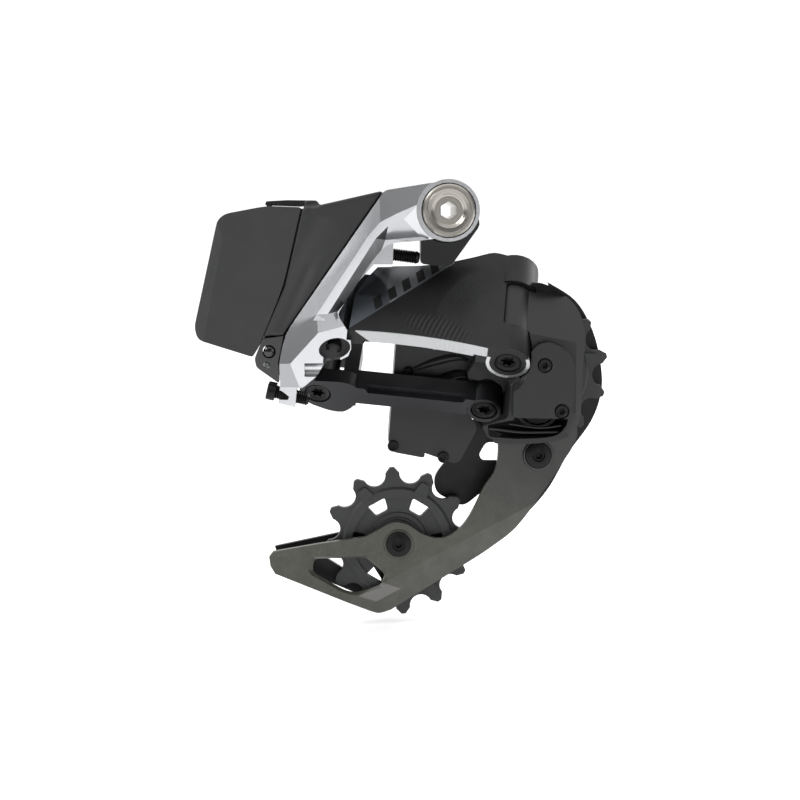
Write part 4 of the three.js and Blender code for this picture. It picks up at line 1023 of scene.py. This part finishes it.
def cage_outer_plate():
    tail = [Vector(p) for p in OUTER_TAIL]
    outline = spline(OUTER_INNER_SIDE, 6) + tail + spline(OUTER_CORNER, 4) + spline(OUTER_FRONT_SIDE, 6)
    plate = prism("cage_plate_carbon", outline, *OUTER_PLATE_DEPTHS)
    crease = [Vector(CREASE_START) + CREASE * reach for reach in (-8, 92)]
    outside = [point + Vector((-CREASE.y, CREASE.x)) * 16 for point in crease]
    points = [(*p, OUTER_PLATE_DEPTHS[0]) for p in crease] + [(*p, 13.9) for p in reversed(outside)]
    band = front_space("edge band", points, [(0, 1, 2, 3)], -5)
    window = prism("window", rounded(TAIL_WINDOW), 8, 17)
    slope = prism("slope", rounded(TAIL_WINDOW), 12.7, 11.2, taper=0.16)
    bores = holes((8, 17), (BOLT_HOLE, LOWER_PULLEY), (BOLT_HOLE, UPPER_PULLEY), (2.3, STOP_SCREW),
                  (3.3, CAGE_PIVOT))
    plate = cut(plate, band, window, slope, *bores)
    seat = [(2.3, 11.3), (4.3, 11.3), (4.7, 10.7), (5.2, 10.9), (5.5, 11.6), (5.5, 12.5), (2.3, 12.5)]
    hub = [(2.8, 11.2), (4.2, 11.2), (4.5, 10.95), (5, 11.1), (5.3, 11.6), (5.3, 12.5), (2.8, 12.5)]
    plate = join(plate, lathe("seat", seat, STOP_SCREW, 56), lathe("hub", hub, LOWER_PULLEY, 56))
    stand_for("cage_outer_plate", soften(plate, 0.4, 3, 16), carbon)


# The inner plate's outline, by stretches: its front side, tail, inner side, head and last corner
INNER_FRONT_SIDE = (
    (38, -24.5), (47.8, -31), (54, -41.5), (57, -53), (57.4, -63), (54, -73.5), (46, -85), (38, -99),
    (26.4, -111.2), (12, -121.5),
)
INNER_TAIL = ((-18, -137.6), (-20.8, -138.4), (-24, -137.6), (-57, -123), (-58.4, -117.8))
INNER_INNER_SIDE = (
    (-27.5, -111.4), (-21, -108.6), (-12, -107.6), (-6.5, -110.8), (-1, -113.4), (7, -112), (12.4, -107),
    (15.2, -101.6), (14.6, -99.4), (8.5, -103.4), (2.3, -100.8), (-1.1, -98.1), (-1.5, -93.2),
    (1.9, -88.1), (9.2, -80.3),
)
INNER_HEAD = ((17, -60), (19, -51), (24, -45.6), (32, -44))
INNER_CORNER = (42, -42)
INNER_WINDOW = ((-42, -121, 1.5), (-27, -119.8, 2), (-20, -131, 2), (-24, -132.5, 1.5))
INNER_OPENING = ((14, -85.4, 1.5), (16.5, -81, 1.5), (22, -81, 1), (22, -87.5, 1), (15.2, -87.5, 1.5))


def cage_inner_plate():
    outline = spline(INNER_FRONT_SIDE, 5) + [Vector(p) for p in INNER_TAIL] + spline(INNER_INNER_SIDE, 5)
    outline += spline(INNER_HEAD, 4) + [Vector(INNER_CORNER)]
    plate = prism("cage_plate_inner", outline, *INNER_PLATE_DEPTHS)
    through = (20, 27)
    windows = [prism("window", rounded(points), *through) for points in (INNER_WINDOW, INNER_OPENING)]
    bores = holes(through, (BOLT_HOLE, LOWER_PULLEY), (BOLT_HOLE, UPPER_PULLEY))
    plate = cut(plate, *windows, *bores)
    stand_for("cage_inner_plate", soften(plate, 0.45, 3), plate_alloy)


def lobed_bolt(name, node, at, face, inward):
    """A pulley or stop bolt: its domed head stands on a plate's face and its shank goes inward."""
    shank_end, head_radius, shank_radius = inward
    turn = 1 if shank_end > face else -1
    rim, crown = face - turn * 0.9, face - turn * 1.5
    profile = [(0, rim), (1.9, rim), (2.2, crown), (3, crown), (head_radius, rim), (head_radius, face),
               (shank_radius, face), (shank_radius, shank_end), (0, shank_end)]
    span = sorted((face - turn * 3, face + turn * 0.8))
    stand_for(node, crisp(socketed(name, profile, circle(1.45, 6, at), span, at)), screw_black)


# ------------------------ pulleys

TEETH = 12
TIP_RADIUS = 26.2
PITCH_RADIUS = 12.7 / 2 / math.sin(math.pi / TEETH)
ROLLER_RADIUS = 3.9
WEB_DEPTHS = (16.7, 19.3)
HUB_DEPTHS = (15.5, 20.5)


def tooth_outline(centre, first, half_tip=1.05):
    result = []
    step = 2 * math.pi / TEETH
    for i in range(TEETH):
        tooth = first + i * step
        for share in (-1, -0.7, 0, 0.7, 1):
            tip = TIP_RADIUS - 0.35 * (abs(share) == 1)
            result.append(polar(tip, tooth + share * half_tip / TIP_RADIUS, centre))
        valley = tooth + step / 2
        seat = polar(PITCH_RADIUS, valley, centre)
        result += [polar(ROLLER_RADIUS, valley + math.pi - k * 13.5 * DEG, seat) for k in range(-6, 7)]
    return result


def blocks(centre, first, radii, half_widths, low, high):
    """Six blocks across the radius, between two radii, with a half width at each."""
    built = []
    for i in range(6):
        angle = first + i * 60 * DEG
        out = Vector((math.cos(angle), math.sin(angle)))
        side = Vector((-out.y, out.x))
        corners = []
        for radius, width, turns in zip(radii, half_widths, ((-1, 1), (1, -1))):
            corners += [(*(Vector(centre) + out * radius + side * width * turn), 0.8) for turn in turns]
        built.append(prism("block", rounded(corners, 3), low, high))
    return built


def pulley(name, node, centre, first, window):
    """A narrow-wide chain pulley with a thin web, a stepped hub and six windows."""
    wheel = prism(name, tooth_outline(centre, first), *WEB_DEPTHS)
    rim = [(15.6, 15.9), (18.6, 15.9), (19.4, 16.6), (19.4, 19.4), (18.6, 20.1), (15.6, 20.1)]
    hub = [(5.6, 15.5), (8.6, 15.5), (8.8, 16.1), (10.2, 16.1), (10.6, 16.8), (10.6, 19.2), (10.2, 19.9),
           (8.8, 19.9), (8.6, 20.5), (5.6, 20.5)]
    pads = blocks(centre, first, (18.4, 22.6), (2.5, 1.5), *HUB_DEPTHS)
    wheel = join(wheel, lathe("rim", rim, centre, 96), lathe("hub", hub, centre, 96), *pads)
    bore = prism("bore", circle(5.6, 64, centre), 10, 26)
    wheel = cut(wheel, bore, *blocks(centre, window, (11.4, 15.9), (2.3, 3.4), 10, 26))
    stand_for(node, soften(wheel, 0.22, 2, 30), pulley_plastic)


def ring(name, node, material, radii, span, centre):
    """A plain ring with chamfered edges, such as a bush, bearing or seal."""
    inner, outer = radii
    low, high = span
    edge = min(0.25, (outer - inner) * 0.3)
    profile = [(inner, low + edge), (inner + edge, low), (outer - edge, low), (outer, low + edge),
               (outer, high - edge), (outer - edge, high), (inner + edge, high), (inner, high - edge)]
    stand_for(node, crisp(lathe(name, profile, centre, 64), 30), material)


# ------------------------ building

mounting_bolt()
upper_knuckle()
upper_knuckle_screws()
battery_case()
battery_housing()
battery_latch()
outer_link()
inner_link()
pin_head("pin_b_lobed", "link_pin_b", FRAME_B, -1.6, 37.5)
pin_head("pin_c_lobed", "link_pin_c", FRAME_C, -1.4, 18)
pin_head("pin_d_lobed", "link_pin_d", FRAME_D, -1.4, 11.5)
lower_knuckle()
cover_and_screws()
motor_housing()
cage_outer_plate()
cage_inner_plate()
lobed_bolt("lower_bolt_socket", "lower_pulley_bolt", LOWER_PULLEY, 11.2, (24.2, 4.3, 2.5))
lobed_bolt("upper_bolt_socket", "upper_pulley_bolt", UPPER_PULLEY, 24.8, (11.9, 3.8, 2.5))
lobed_bolt("stop_screw_socket", "cage_stop_screw", STOP_SCREW, 11.2, (13.2, 4.4, 2))
pulley("upper_pulley_teeth", "upper_pulley", UPPER_PULLEY, 11.7 * DEG, 30 * DEG)
pulley("lower_pulley_teeth", "lower_pulley", LOWER_PULLEY, 4.5 * DEG, 58.8 * DEG)
for side, at in (("upper", UPPER_PULLEY), ("lower", LOWER_PULLEY)):
    ring(f"{side}_bearing_ring", f"{side}_pulley_bearing", plain_steel, (2.7, 5.3), (13.8, 22.2), at)
    for end, span in (("outer", (14, 15.2)), ("inner", (20.8, 22))):
        ring(f"{side}_seal_ring_{end}", f"{side}_pulley_seal_{end}", rubber, (5.6, 8), span, at)
ring("hanger_bush_ring", "mounting_bush", bronze, (6.3, 7.5), (-15.6, -3.1), (0, 0))
ring("cage_bush_ring", "cage_pivot_bush", bronze, (4.3, 6), (5, 9), CAGE_PIVOT)

# Plain CAD nodes get rounded edges of a given width, and a finish
for node, material, width in (
        ("stop_washer", dark_alloy, 0.5), ("contact_block", gloss_plastic, 0.2),
        ("latch_pin", plain_steel, 0.1), ("control_module", gloss_plastic, 0.4),
        ("circuit_board", board, 0.05), ("status_light", lens, 0.1),
        ("function_button", gloss_plastic, 0.1), ("battery_cell", cell, 0.5),
        ("battery_contacts", contact_metal, 0.2), ("link_pin_a", screw_black, 0.2),
        ("cage_spring", dark_alloy, 0.2), ("clutch_damper", screw_black, 0.2),
        ("motor_housing_lid", knuckle_alloy, 0.3), ("lid_screw_1", screw_black, 0.1),
        ("lid_screw_2", screw_black, 0.1), ("drive_motor", plain_steel, 0.2), ("drive_worm", brass, 0.1),
        ("drive_wheel", brass, 0.1), ("cage_axle", plain_steel, 0.3)):
    stand_for(node, soften(copy_of(node, f"{node}_finished"), width, 2), material)
